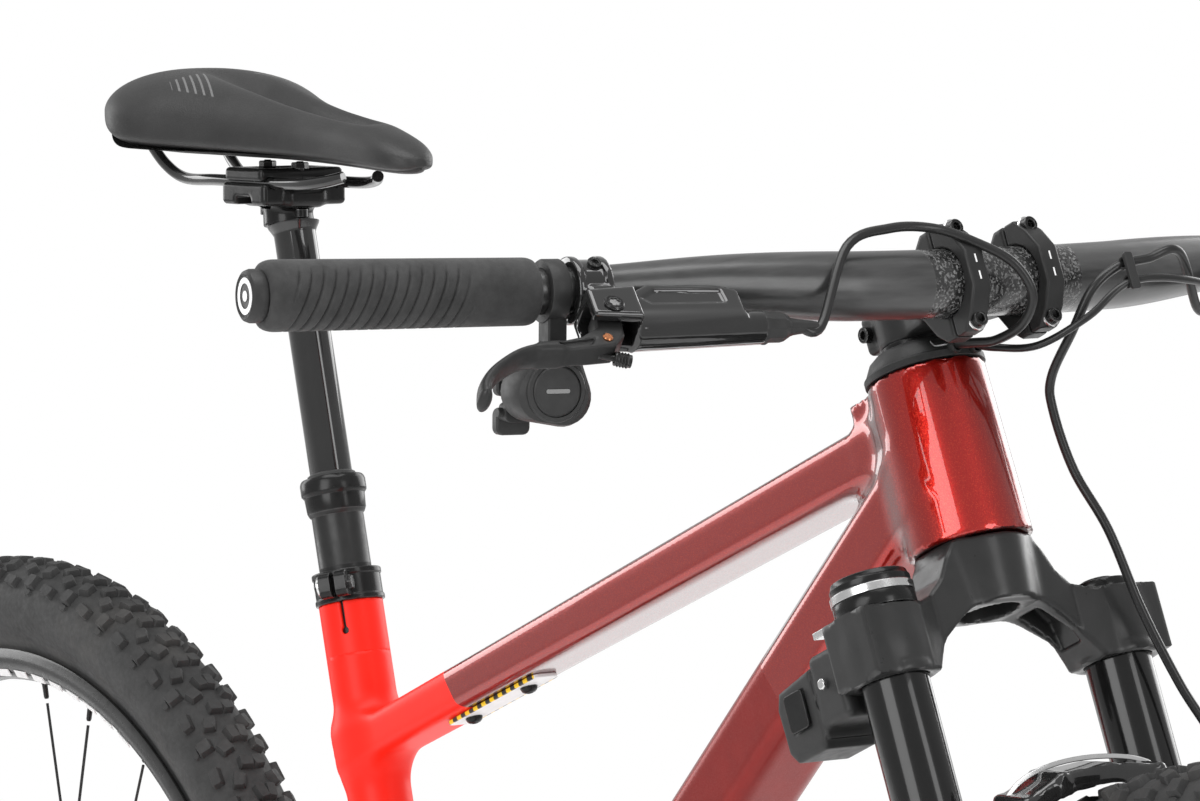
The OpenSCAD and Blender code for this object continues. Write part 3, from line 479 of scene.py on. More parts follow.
def piece(name, shape, materials, node, ride=True, bevel=0.0, sharp=35.0, subdivide=0):
    """Makes the Blender object of a shape given in the row's frame, in place of a node of the CAD model.

    It rides the node's body, unless ride is false: then it rides no body.
    """
    mesh = bpy.data.meshes.new(name)
    mesh.from_pydata((shape.points * MM).tolist(), [], shape.faces)
    materials = materials if isinstance(materials, (list, tuple)) else [materials]
    for m in materials:
        mesh.materials.append(m)
    if len(materials) > 1:
        mesh.polygons.foreach_set("material_index", shape.tints)
    mesh.shade_smooth()
    mesh.set_sharp_from_angle(angle=math.radians(sharp))
    obj = bpy.data.objects.new(name, mesh)
    bpy.context.scene.collection.objects.link(obj)
    if bevel:
        modifier = obj.modifiers.new("edges", "BEVEL")
        modifier.width = bevel * MM
        modifier.segments = 2
        modifier.limit_method = "ANGLE"
        modifier.angle_limit = math.radians(32)
        modifier.harden_normals = True
        modifier.use_clamp_overlap = True
    if subdivide:
        modifier = obj.modifiers.new("smooth", "SUBSURF")
        modifier.levels = modifier.render_levels = subdivide
    if ride:
        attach(obj, BODY_OF[node])
    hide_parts(node)
    return obj


def mirrored_pieces(name, shape, materials, node, **options):
    """The same sub-part for the right and, mirrored, the left. {} in node stands for the side's name."""
    for side, placed in (("right", shape), ("left", shape.at(MIRROR))):
        piece(name + "_" + side, placed, materials, node.format(side), **options)


# ---------------------------------------------------------------- materials


class Nodes:
    """A short way to build a material's node tree. Sizes are in metres of the object itself."""

    def __init__(self, name):
        self.material = bpy.data.materials.new(name)
        self.material.use_nodes = True
        self.tree = self.material.node_tree
        self.shader = self.tree.nodes["Principled BSDF"]
        self.place = self.tree.nodes.new("ShaderNodeTexCoord").outputs["Object"]

    def add(self, kind, inputs=(), **settings):
        node = self.tree.nodes.new("ShaderNode" + kind)
        for key, value in settings.items():
            setattr(node, key, value)
        for key, value in dict(inputs).items():
            self.put(node.inputs[key], value)
        return node

    def put(self, socket, value):
        if hasattr(value, "links") and hasattr(value, "node"):
            self.tree.links.new(value, socket)
        else:
            socket.default_value = value

    def set(self, **values):
        for key, value in values.items():
            self.put(self.shader.inputs[key.replace("_", " ")], value)

    def noise(self, size, detail=3.0, place=None, rough=0.55):
        node = self.add("TexNoise", {"Vector": place or self.place, "Scale": 1 / size, "Detail": detail,
                                     "Roughness": rough})
        return node.outputs["Fac"]

    def cells(self, size, output="Distance", feature="F1", place=None):
        node = self.add("TexVoronoi", {"Vector": place or self.place, "Scale": 1 / size}, feature=feature)
        return node.outputs[output]

    def math(self, operation, a, b=0.0):
        node = self.add("Math", operation=operation)
        self.put(node.inputs[0], a)
        self.put(node.inputs[1], b)
        return node.outputs[0]

    def vector(self, operation, a, b=None, output=0):
        inputs = {0: a} if b is None else {0: a, 1: b}
        return self.add("VectorMath", inputs, operation=operation).outputs[output]

    def ramp(self, value, low, high, to_low=0.0, to_high=1.0):
        return self.add("MapRange", {"Value": value, "From Min": low, "From Max": high, "To Min": to_low,
                                     "To Max": to_high}).outputs["Result"]

    def mix(self, factor, a, b):
        node = self.add("Mix", data_type="RGBA")
        self.put(node.inputs["Factor"], factor)
        self.put(node.inputs[6], a)
        self.put(node.inputs[7], b)
        return node.outputs[2]

    def bump(self, height, depth, strength=1.0, normal=None):
        node = self.add("Bump", {"Height": height, "Distance": depth, "Strength": strength})
        if normal:
            self.put(node.inputs["Normal"], normal)
        return node.outputs["Normal"]

    def edges(self, radius, sharpness=6.0):
        """1 on rounded edges, 0 on flat ground."""
        bevel = self.add("Bevel", {"Radius": radius}, samples=4).outputs["Normal"]
        normal = self.add("NewGeometry").outputs["Normal"]
        dot = self.vector("DOT_PRODUCT", bevel, normal, output="Value")
        return self.math("MINIMUM", self.math("MULTIPLY", self.math("SUBTRACT", 1.0, dot), sharpness),
                         1.0)


def rgb(red, green, blue):
    return (red, green, blue, 1.0)


def grey(value, warmth=0.0):
    return rgb(value * (1 + warmth), value, value * (1 - warmth))


def surface(name, colour, rough=0.4, metal=0.0, coat=0.0, coat_rough=0.04, grain=0.0006, depth=0.00002,
            mottle=0.12, spread=0.08, wear=0.0, worn=None, dust=0.0):
    """A finish with slight colour and gloss variation, a fine grain and, if asked, worn edges."""
    n = Nodes(name)
    broad = n.noise(0.018, 4)
    tone = n.mix(n.ramp(broad, 0.3, 0.7), [c * (1 - mottle) for c in colour[:3]] + [1],
                 [min(1, c * (1 + mottle)) for c in colour[:3]] + [1])
    gloss = n.ramp(n.noise(0.006, 5), 0.25, 0.75, max(0.02, rough - spread), min(1, rough + spread))
    if wear:
        edge = n.math("MULTIPLY", n.edges(0.0009), n.ramp(n.noise(0.004), 0.35, 0.65, 0.1, wear))
        tone = n.mix(edge, tone, worn or grey(0.28))
    if dust:
        tone = n.mix(n.math("MULTIPLY", n.ramp(n.noise(0.03, 6), 0.45, 0.75), dust), tone,
                     rgb(0.3, 0.27, 0.23))
    normal = n.bump(n.noise(grain, 2), depth)
    n.set(Base_Color=tone, Roughness=gloss, Metallic=metal, Coat_Weight=coat, Coat_Roughness=coat_rough,
          Specular_IOR_Level=0.2 if coat else 0.3, Normal=normal)
    if coat:
        n.set(Coat_Normal=n.add("NewGeometry").outputs["Normal"])
    return n.material


def brushed(name, colour, rough=0.28, grain=0.0004):
    """Bare metal with fine brushing marks."""
    n = Nodes(name)
    stretched = n.vector("MULTIPLY", n.place, (1, 14, 1))
    marks = n.noise(grain * 8, 4, stretched)
    tone = n.mix(n.ramp(marks, 0.3, 0.7), [c * 0.8 for c in colour[:3]] + [1], colour)
    tone = n.mix(n.ramp(n.noise(0.02, 5), 0.5, 0.75, 0, 0.35), tone, [c * 0.5 for c in colour[:3]] + [1])
    n.set(Base_Color=tone, Metallic=1.0, Roughness=n.ramp(marks, 0.2, 0.8, rough - 0.06, rough + 0.14),
          Normal=n.bump(marks, 0.00002, 0.6))
    return n.material


def rubber(name, colour, rough=0.75, grain=0.0009, depth=0.00008):
    n = Nodes(name)
    tone = n.mix(n.ramp(n.noise(0.012, 6), 0.35, 0.7), colour, [c * 1.6 for c in colour[:3]] + [1])
    n.set(Base_Color=tone, Roughness=n.ramp(n.noise(0.004, 4), 0.3, 0.7, rough - 0.12, rough + 0.1),
          Normal=n.bump(n.noise(grain, 3), depth))
    n.set(Sheen_Weight=0.08, Specular_IOR_Level=0.35)
    return n.material


def plane_mask(n, point, normal, softness=0.0001):
    """1 on the side of a plane that its normal points to. The point is in millimetres."""
    offset = n.vector("SUBTRACT", n.place, tuple(np.asarray(point) * MM))
    along = n.vector("DOT_PRODUCT", offset, tuple(unit(normal)), output="Value")
    return n.ramp(along, -softness, softness)


def frame_paint():
    """Matt orange-red at the rear, glossy metallic red in front, satin brown-red on the lower down tube."""
    n = Nodes("frame_paint")
    flake = n.cells(0.00035, "Color")
    sparkle = n.add("SeparateColor", {"Color": flake}).outputs[0]
    facing = n.add("LayerWeight", {"Blend": 0.42}).outputs["Facing"]
    deep = n.mix(n.ramp(facing, 0.05, 0.75), rgb(0.40, 0.006, 0.003), rgb(0.07, 0.001, 0.001))
    candy = n.mix(n.ramp(sparkle, 0.72, 1.0, 0, 0.30), deep, rgb(0.85, 0.09, 0.03))
    matt = n.mix(n.ramp(n.noise(0.02, 4), 0.3, 0.7), rgb(0.68, 0.007, 0.003), rgb(0.73, 0.010, 0.004))
    brown = n.mix(n.ramp(n.noise(0.015, 4), 0.3, 0.7), rgb(0.19, 0.006, 0.004), rgb(0.22, 0.008, 0.005))
    front = plane_mask(n, TOP_SPLIT_AT, TOP_SPLIT_NORMAL)
    below = n.math("MULTIPLY", plane_mask(n, DOWN_SPLIT_AT, DOWN_SPLIT_NORMAL),
                   plane_mask(n, DOWN_TOP + 38 * DOWN_NORMAL, -DOWN_NORMAL))
    tone = n.mix(front, matt, candy)
    tone = n.mix(below, tone, brown)
    rough = n.math("ADD", n.ramp(front, 0, 1, 0.42, 0.30), n.math("MULTIPLY", below, 0.08))
    coat = n.math("MULTIPLY", n.ramp(front, 0, 1, 0.0, 1.0), n.ramp(below, 0, 1, 1.0, 0.12))
    metal = n.math("MULTIPLY", n.ramp(front, 0, 1, 0.0, 0.82), n.ramp(below, 0, 1, 1.0, 0.65))
    tilt = n.vector("MULTIPLY", n.vector("SUBTRACT", flake, (0.5, 0.5, 0.5)), (0.10, 0.10, 0.10))
    tilt = n.vector("MULTIPLY", tilt, n.add("CombineXYZ",
                                            {"X": front, "Y": front, "Z": front}).outputs[0])
    peel = n.bump(n.noise(0.0022, 2), 0.00001, 0.5)
    normal = n.vector("NORMALIZE", n.vector("ADD", peel, tilt))
    n.set(Base_Color=tone, Roughness=rough, Metallic=metal, Coat_Weight=coat, Coat_Roughness=0.02,
          Specular_IOR_Level=n.ramp(front, 0, 1, 0.22, 0.5), Normal=normal, Coat_Normal=peel)
    # The matt paint glows: an emission, painted light that brightens it whatever the lamps
    matt_painted_glow = n.math("MULTIPLY", n.ramp(front, 0, 1, 1, 0), n.ramp(below, 0, 1, 1, 0))
    n.set(Emission_Color=rgb(0.9, 0.035, 0.012), Emission_Strength=n.math("MULTIPLY", matt_painted_glow, 0.20))
    return n.material


# ---------------------------------------------------------------- front frame

TOP_REAR = at(SEAT, 0, 0, -84.0)
TOP_FRONT = at(STEER, -18, 0, 66.0)
DOWN_TOP = at(STEER, -12, 0, 40.0)
DOWN_LOW = main_pivot + (5, 0, 18)
TOP_DIRECTION = unit(TOP_FRONT - TOP_REAR)
DOWN_DIRECTION = unit(DOWN_LOW - DOWN_TOP)
TOP_NORMAL = np.cross(TOP_DIRECTION, SIDEWAYS)
DOWN_NORMAL = np.cross(SIDEWAYS, DOWN_DIRECTION)
SEAT_TUBE_R = 19.0
SHELL_LOW, SHELL_HIGH = bottom_bracket[2] - 30, head_base[2] + 98

# Where the paint changes
TOP_SPLIT_AT = TOP_REAR + 118 * TOP_DIRECTION
TOP_SPLIT_NORMAL = TOP_DIRECTION + 0.35 * TOP_NORMAL
DOWN_SPLIT_AT = DOWN_TOP + 158 * DOWN_DIRECTION
DOWN_SPLIT_NORMAL = DOWN_DIRECTION


def head_tube_field(p):
    q = (p - head_base) @ STEER[:3, :3]
    radius = HEAD_LOW_R + (HEAD_HIGH_R - HEAD_LOW_R) * q[..., 2] / HEAD_LENGTH
    side = np.hypot(q[..., 0], q[..., 1]) - radius
    return smooth_common(1.2, side, abs(q[..., 2] - HEAD_LENGTH / 2) - HEAD_LENGTH / 2)


def top_tube_field(p):
    """A beam with upright sides, a crowned top and a broad, sharp-edged flat underneath."""
    return faceted_field(p, TOP_REAR - 6 * TOP_DIRECTION, TOP_FRONT, -TOP_NORMAL,
                         ((0, 17.5, 22.5), (90, 12.5, 15.0), (-90, 11.5, 15.0), (55, 17.5, 22.5),
                          (-38, 19.0, 24.5)), edge=2.4)


def down_tube_field(p):
    """Narrow upright side facets, a flat top and a keeled, faceted underside."""
    return faceted_field(p, DOWN_TOP - 14 * DOWN_DIRECTION, DOWN_LOW, DOWN_NORMAL,
                         ((0, 26.0, 25.0), (-90, 22.0, 22.0), (48, 27.5, 27.0), (90, 29.0, 28.5),
                          (-55, 29.0, 28.0)), edge=2.6)


def front_frame_field(p):
    seat_tube = rod_field(p, at(SEAT, 0, 0, -30), at(SEAT, 0, 0, -372), SEAT_TUBE_R, SEAT_TUBE_R,
                          edge=0.3)
    lower_seat_tube = rod_field(p, at(SEAT, 0, 0, -360), bottom_bracket, SEAT_TUBE_R, 21.0, flat=False)
    shell = rod_field(p, bottom_bracket - 36.5 * SIDEWAYS, bottom_bracket + 36.5 * SIDEWAYS, 24.0)
    pivot = rod_field(p, main_pivot - 20 * SIDEWAYS, main_pivot + 20 * SIDEWAYS, 19.0)
    head_and_tubes = smooth_union(9.0, head_tube_field(p), top_tube_field(p), down_tube_field(p))
    web = block_web_field(p)
    head_and_tubes = smooth_union(5.0, head_and_tubes, web)
    junction = smooth_union(26.0, seat_tube, lower_seat_tube)
    body = smooth_union(17.0, head_and_tubes, junction)
    body = smooth_union(12.0, body, shell, pivot)
    # Flat ends: the seat tube's top, the head tube's two faces and the bottom bracket's faces
    seat = (p - seat_top) @ SEAT[:3, :3]
    steer = (p - head_base) @ STEER[:3, :3]
    near_head = np.hypot(steer[..., 0], steer[..., 1]) < 60
    near_seat_tube = (np.hypot(seat[..., 0], seat[..., 1]) < 40) & (seat[..., 2] > -60)
    body = np.where(near_seat_tube, np.maximum(body, seat[..., 2] + 30), body)
    ends = np.maximum(-steer[..., 2], steer[..., 2] - HEAD_LENGTH)
    body = np.where(near_head, smooth_common(0.8, body, ends), body)
    return smooth_common(0.8, body, np.where(p[..., 2] < bottom_bracket[2] + 30, abs(p[..., 1]) - 36.5,
                                             -50.0))


def block_web_field(p):
    """The flat web that fills the corner between the top tube and the down tube at the head tube."""
    steer = (p - head_base) @ STEER[:3, :3]
    upper = (p - TOP_FRONT) @ TOP_NORMAL + 6.0
    lower = -((p - DOWN_TOP) @ DOWN_NORMAL) - 8.0
    reach = -(steer[..., 0] + 46.0)
    return smooth_common(4.0, abs(p[..., 1]) - 18.5, -upper, lower, reach, steer[..., 0] - 5)


def build_front_frame():
    low = (DOWN_LOW[0] - 118, -44, SHELL_LOW)
    high = (head_base[0] + 60, 44, SHELL_HIGH)
    shape = skin(front_frame_field, low, high, 2.2)
    piece("frame_shell", shape, PAINT, "front_frame", sharp=60)


# ---------------------------------------------------------------- finishes


def carbon_bar():
    """Satin carbon, with a coarse, speckled gloss band where the stem clamps it."""
    n = Nodes("carbon_bar")
    offset = n.vector("SUBTRACT", n.place, tuple(bar_centre * MM))
    side = n.add("SeparateXYZ", {"Vector": offset}).outputs["Y"]
    clamp = n.ramp(n.math("ABSOLUTE", side), 0.0465, 0.0475, 1.0, 0.0)
    stretched = n.vector("MULTIPLY", n.place, (1, 0.12, 1))
    streak = n.noise(0.004, 5, stretched)
    speckle = n.cells(0.0011, "Color")
    speckle = n.ramp(n.add("SeparateColor", {"Color": speckle}).outputs[0], 0.55, 1.0)
    plain = n.mix(n.ramp(streak, 0.35, 0.7), grey(0.020), grey(0.040))
    rough_band = n.mix(speckle, grey(0.012), grey(0.16))
    gloss = n.mix(clamp, grey(0.34), grey(0.22))
    n.set(Base_Color=n.mix(clamp, plain, rough_band), Coat_Weight=0.35, Coat_Roughness=0.22,
          Roughness=n.add("SeparateColor", {"Color": gloss}).outputs[0],
          Normal=n.bump(speckle, 0.00012, n.ramp(clamp, 0, 1, 0.03, 0.9)))
    return n.material


def saddle_cover():
    """Matt pebbled cover with a band of thin paler lines on each rear flank."""
    n = Nodes("saddle_cover")
    offset = n.vector("SUBTRACT", n.place, tuple(saddle_at * MM))
    split = n.add("SeparateXYZ", {"Vector": offset})
    x, y = split.outputs["X"], n.math("ABSOLUTE", split.outputs["Y"])
    lean = n.math("SUBTRACT", y, n.math("MULTIPLY", x, 0.45))
    line = n.math("PINGPONG", lean, 0.0024)
    line = n.ramp(line, 0.0016, 0.0018)
    inside = n.math("MULTIPLY", n.ramp(lean, 0.044, 0.0445), n.ramp(lean, 0.069, 0.0695, 1, 0))
    length = n.math("ADD", -0.020, n.math("MULTIPLY", n.math("SUBTRACT", lean, 0.044), -1.2))
    inside = n.math("MULTIPLY", inside, n.ramp(n.math("SUBTRACT", x, length), -0.0005, 0.0005, 1, 0))
    inside = n.math("MULTIPLY", inside, n.ramp(x, -0.062, -0.061))
    mark = n.math("MULTIPLY", line, inside)
    pebble = n.cells(0.0011)
    cloth = n.mix(n.ramp(n.noise(0.03, 5), 0.35, 0.65), grey(0.014), grey(0.022))
    n.set(Base_Color=n.mix(mark, cloth, grey(0.13)), Roughness=n.ramp(pebble, 0, 0.8, 0.38, 0.50),
          Normal=n.bump(n.math("ADD", pebble, n.noise(0.0005, 2)), 0.00010, 0.8))
    n.set(Specular_IOR_Level=0.4)
    return n.material


def tyre_material():
    n = Nodes("tyre_rubber")
    tone = n.mix(n.ramp(n.noise(0.02, 6), 0.3, 0.7), grey(0.018), grey(0.034))
    dusty = n.math("MULTIPLY", n.ramp(n.noise(0.05, 6), 0.5, 0.75), 0.16)
    tone = n.mix(dusty, tone, rgb(0.16, 0.145, 0.13))
    n.set(Base_Color=tone, Roughness=n.ramp(n.noise(0.003, 4), 0.3, 0.7, 0.62, 0.8),
          Specular_IOR_Level=0.4, Normal=n.bump(n.noise(0.0012, 4), 0.0001))
    return n.material


def plate_paint():
    """A white plate with a dashed yellow and black edge on the bike's right and left."""
    n = Nodes("plate_paint")
    offset = n.vector("SUBTRACT", n.place, tuple(TOP_REAR * MM))
    along = n.vector("DOT_PRODUCT", offset, tuple(TOP_DIRECTION), output="Value")
    side = n.math("ABSOLUTE", n.add("SeparateXYZ", {"Vector": n.place}).outputs["Y"])
    dash = n.ramp(n.math("PINGPONG", along, 0.0045), 0.00215, 0.00235)
    dashes = n.mix(dash, rgb(0.85, 0.55, 0.01), grey(0.012))
    edge = n.ramp(side, 0.0078, 0.0080)
    white = n.mix(n.ramp(n.noise(0.01, 4), 0.3, 0.7), grey(0.72), grey(0.80))
    n.set(Base_Color=n.mix(edge, white, dashes), Roughness=0.42,
          Normal=n.bump(n.noise(0.0008, 3), 0.00003))
    return n.material


GLOSS = surface("black_gloss", grey(0.010), 0.10, coat=1.0, coat_rough=0.02, spread=0.03, depth=0.000004)
TUBE_BLACK = surface("tube_black", grey(0.005), 0.2, coat=0.4, coat_rough=0.03, spread=0.03,
                     depth=0.000004)
SATIN = surface("black_satin", grey(0.020), 0.36, metal=0.2, depth=0.00001, wear=0.25)
ANODISED = surface("black_anodised", grey(0.016), 0.22, metal=0.45, spread=0.06, depth=0.000012,
                   wear=0.35)
BLASTED = surface("blasted_black", grey(0.022), 0.42, metal=0.3, grain=0.0004, depth=0.00004, wear=0.25)
FORK = surface("fork_satin", grey(0.021), 0.34, coat=0.25, coat_rough=0.25, grain=0.0005, depth=0.000025)
LOWERS_GLOSS = surface("fork_gloss", grey(0.013), 0.16, coat=1.0, coat_rough=0.03, depth=0.000006)
MOULDED = surface("moulded_black", grey(0.022), 0.48, grain=0.0007, depth=0.00004)
BOLT = surface("bolt_black", grey(0.018), 0.26, metal=0.7, spread=0.07, wear=0.6, worn=grey(0.4))
STEEL = brushed("steel", grey(0.62), 0.24)
SILVER = surface("silver_ring", grey(0.62), 0.24, metal=1.0, grain=0.0004, depth=0.00001, mottle=0.05)
COPPER = surface("copper", rgb(0.42, 0.17, 0.08), 0.25, metal=1.0, mottle=0.08)
DARK_STEEL = brushed("dark_steel", grey(0.30), 0.3)
CHAIN_STEEL = brushed("chain_steel", grey(0.42), 0.26)
SPOKE = surface("spoke_black", grey(0.03), 0.28, metal=0.6)
RIM = surface("rim_carbon", grey(0.020), 0.30, coat=0.4, coat_rough=0.15, mottle=0.3, depth=0.00001)
HOSE = surface("hose_black", grey(0.014), 0.34, coat=0.3, coat_rough=0.2, depth=0.00001)
FOAM = rubber("grip_foam", grey(0.024), 0.86, 0.0007, 0.00016)
RUBBER = rubber("plain_rubber", grey(0.02), 0.65)
TYRE = tyre_material()
CARBON = carbon_bar()
COVER = saddle_cover()
PLATE = plate_paint()
PAINT = frame_paint()
REAR_PAINT = surface("swingarm_red", rgb(0.72, 0.020, 0.010), 0.42, mottle=0.05, depth=0.00001)
WHITE = surface("white_print", grey(0.75), 0.4, mottle=0.03)


# ---------------------------------------------------------------- seat tube's top, post and saddle

SLIT_ANGLE = -50.0
SLIT_HALF = 1.1
SLIT_DEPTH = 17.0


def slit_distance(q):
    """Distance to the clamp slit of the seat tube: a thin slot with a round end."""
    turn = math.radians(SLIT_ANGLE)
    sideways = -q[..., 0] * math.sin(turn) + q[..., 1] * math.cos(turn)
    outward = q[..., 0] * math.cos(turn) + q[..., 1] * math.sin(turn)
    depth = np.maximum(-SLIT_DEPTH - q[..., 2], 0)
    slot = np.hypot(sideways, depth) - SLIT_HALF
    hole = np.hypot(sideways, q[..., 2] + SLIT_DEPTH) - 2.2
    return np.maximum(np.minimum(slot, hole), 4 - outward)


def seat_tube_top_field(q):
    side = np.hypot(q[..., 0], q[..., 1])
    ring = np.maximum(side - SEAT_TUBE_R, POST_R + 0.1 - side)
    ring = np.maximum(ring, abs(q[..., 2] + 15.5) - 15.5)
    return np.maximum(ring, -slit_distance(q))


def build_seat_tube_top():
    shape = skin(seat_tube_top_field, (-21, -21, -33), (21, 21, 2), 0.7)
    piece("seat_tube_top", shape.at(SEAT), PAINT, "front_frame", sharp=40)


def build_collar():
    turn = turned(2, SLIT_ANGLE)
    band = lathe([(POST_R + 0.2, 0.2), (20.2, 0.2), (20.6, 0.8), (20.6, 3.2), (19.9, 3.8), (19.9, 15.4),
                  (20.6, 16.0), (20.6, 18.6), (20.1, 19.2), (POST_R + 0.2, 19.2)], 72, loop=True)
    lugs = total(prism(rounded_rectangle(13, 15, 4), 1.4 * k,
                       8.4 * k).at(local_frame((25.0, 0, 9.6), (1, 0, 0), (0, 0, k),
                                               (0, k, 0)) if k > 0 else local_frame((25.0, 0, 9.6),
            (1, 0, 0), (0, 0, 1), (0, 1, 0))) for k in (1, -1))
    bolt = socket_bolt(4.3, 3.2, 0.55).at(local_frame((26, -8.4, 9.6), (1, 0, 0), (0, 0, -1), (0, -1, 0)))
    rim = lathe([(4.5, 0), (6.1, 0), (6.1, 1.1), (5.6, 1.5), (4.5, 1.5)], 32,
                loop=True).at(local_frame((26, -8.4, 9.6), (1, 0, 0), (0, 0, -1), (0, -1, 0)))
    nut = lathe([(0.0, 0), (4.6, 0), (4.6, 2.2), (4.0, 2.8), (0.0, 2.8)],
                6).at(local_frame((26, 8.4, 9.6), (1, 0, 0), (0, 0, 1), (0, 1, 0)))
    place = SEAT @ turn
    piece("seat_collar_band", (band + lugs).at(place), ANODISED, "seat_collar", bevel=0.5)
    piece("seat_collar_bolt", (bolt + nut + rim.tint(1)).at(place), [BOLT, SILVER], "seat_collar")


def build_post():
    lower = lathe([(DROPPER_R + 0.3, -212), (POST_R, -212), (POST_R, 22), (POST_R + 0.03, 22.1),
                   (POST_R, 22.2), (POST_R, 52.5), (16.4, 53.5), (17.1, 55.0)], 72)
    seal = lathe([(POST_R + 0.5, 54.8), (17.0, 54.8), (17.5, 56), (18.0, 64.5), (19.3, 66.0), (19.5, 67),
                  (19.5, 72.5), (19.0, 74.2), (18.1, 75.4), (15.5, 76.0), (DROPPER_R + 0.4, 76.0),
                  (DROPPER_R + 0.15, 75)], 72)
    wiper = lathe([(DROPPER_R + 0.1, 76.0), (14.6, 76.0), (14.2, 77.4), (DROPPER_R + 0.1, 78.4)], 72)
    piece("post_lower", lower.at(SEAT), SATIN, "dropper_lower", sharp=28)
    piece("post_seal_head", seal.at(SEAT), ANODISED, "dropper_lower", bevel=0.3)
    piece("post_wiper", wiper.at(SEAT), RUBBER, "dropper_lower")
    upper = lathe([(10, -35), (DROPPER_R - 0.5, -35), (DROPPER_R, -34), (DROPPER_R, 223),
                   (DROPPER_R + 0.9, 225), (15.2, 228), (15.6, 229.2), (10, 229.6)], 72)
    piece("post_upper", upper.at(SEAT), GLOSS, "dropper_upper", sharp=28)


RAIL_HALF, RAIL_HEIGHT = 22.0, -12.0


def saddle_clamp_field(q):
    """The cradle under the rails, in the saddle's frame."""
    block = block_field(q, (0, 0, RAIL_HEIGHT - 7), (24, 29, 6.6), 3.0)
    waist = block_field(q, (0, 0, RAIL_HEIGHT - 9), (26, 13, 5.5), 4.0)
    neck = rod_field(q, (5.5, 0, RAIL_HEIGHT - 26), (2, 0, RAIL_HEIGHT - 6), 15.2, 14.0)
    value = smooth_union(5.0, block, waist, neck)
    lightening = block_field(q, (0, 0, RAIL_HEIGHT - 12), (9, 40, 3.6), 2.5)
    value = smooth_cut(1.5, value, lightening)
    for side in (-1, 1):
        rail = np.hypot(q[..., 1] - side * RAIL_HALF, q[..., 2] - RAIL_HEIGHT) - 3.65
        value = smooth_cut(0.4, value, rail)
    return value


def saddle_cover_clamp_field(q):
    value = block_field(q, (0, 0, RAIL_HEIGHT + 4.4), (20.5, 29, 4.0), 2.6)
    value = smooth_cut(4.0, value, block_field(q, (0, 0, RAIL_HEIGHT + 9.5), (9, 15, 5), 3))
    for side in (-1, 1):
        rail = np.hypot(q[..., 1] - side * RAIL_HALF, q[..., 2] - RAIL_HEIGHT) - 3.65
        value = smooth_cut(0.4, value, rail)
    return value


def rail_path(side):
    return curve([(-112, 26 * side, 10), (-96, 24 * side, RAIL_HEIGHT + 8),
                  (-76, RAIL_HALF * side, RAIL_HEIGHT), (-40, RAIL_HALF * side, RAIL_HEIGHT),
                  (0, RAIL_HALF * side, RAIL_HEIGHT), (50, RAIL_HALF * side, RAIL_HEIGHT),
                  (72, 18 * side, RAIL_HEIGHT + 2), (84, 12 * side, RAIL_HEIGHT + 5)], 7)


def build_saddle_clamp():
    low, high = (-30, -33, RAIL_HEIGHT - 29), (30, 33, RAIL_HEIGHT + 12)
    cradle = skin(saddle_clamp_field, low, high, 1.1)
    cover = skin(saddle_cover_clamp_field, (-24, -33, RAIL_HEIGHT - 2), (24, 33, RAIL_HEIGHT + 12), 1.0)
    piece("saddle_cradle", cradle.at(SADDLE), ANODISED, "saddle_clamp")
    piece("saddle_rail_cover", cover.at(SADDLE), ANODISED, "saddle_clamp")
    bolts = total(socket_bolt(4.5, 4.6, 0.5).at(local_frame((x, 0, RAIL_HEIGHT - 16.2), (1, 0, 0),
                                                            (0, -1, 0), (0, 0, -1))) + lathe([(0,
            RAIL_HEIGHT - 18), (2.5, RAIL_HEIGHT - 18), (2.5, RAIL_HEIGHT + 11.5),
            (1.9, RAIL_HEIGHT + 12.2), (0, RAIL_HEIGHT + 12.2)], 16).shift(x, 0,
            0) + lathe([(2.4, 0), (5.2, 0), (5.2, 3), (4.6, 3.6), (2.4, 3.6)], 6, loop=True).shift(x, 0,
            RAIL_HEIGHT + 8) for x in (-18, 18))
    piece("saddle_clamp_bolts", bolts.at(SADDLE), BOLT, "saddle_clamp")
    rails = total(sweep(rail_path(side), 3.5, (0, 1, 0)) for side in (-1, 1))
    piece("saddle_rails_bent", rails.at(SADDLE), GLOSS, "saddle_rails", sharp=50)


# Along the saddle, from tail to nose: x, half width, then the heights of the crown, the widest line
# and the lower edge
SADDLE_STATIONS = ((-121, 22, 40, 34, 30), (-117, 42, 46, 33, 26), (-108, 57, 51, 31, 20),
                   (-95, 67, 53.5, 28, 12), (-80, 71, 53.5, 25, 6), (-60, 67.5, 52, 22, 4.5),
                   (-38, 58, 49.0, 20, 4), (-12, 46.5, 43.5, 18, 3.5), (17, 35.5, 37.5, 16, 3),
                   (45, 28, 33, 14, 2.2), (72, 23.5, 29.5, 12.5, 1), (100, 21, 25.5, 11, -0.5),
                   (125, 18.5, 18.5, 8, -2), (138, 14.5, 13, 5.5, -2.2), (145, 9, 8.5, 4, -1.2),
                   (148, 3.5, 5, 3, 0.8))


def saddle_rings(points_round, inset=0.0):
    rings = []
    for x, half, crown, widest, lower in curve(SADDLE_STATIONS, 5):
        ring = []
        half = max(half - inset, 1.5)
        channel = 13.0 * np.clip((x + 75) / 45, 0, 1) * np.clip((104 - x) / 34, 0, 1)
        for k in range(points_round):
            turn = 2 * math.pi * k / points_round
            c, s = math.cos(turn), math.sin(turn)
            y = half * np.sign(c) * abs(c) ** 0.86
            if s >= 0:
                z = widest + (crown - widest) * s ** 1.1
                dip = channel * math.exp(-(y / (7.0 + 0.09 * half)) ** 4)
                z -= dip
            else:
                z = widest - (widest - lower) * abs(s) ** 0.42
            ring.append((x, y, z))
        rings.append(ring)
    return np.array(rings)


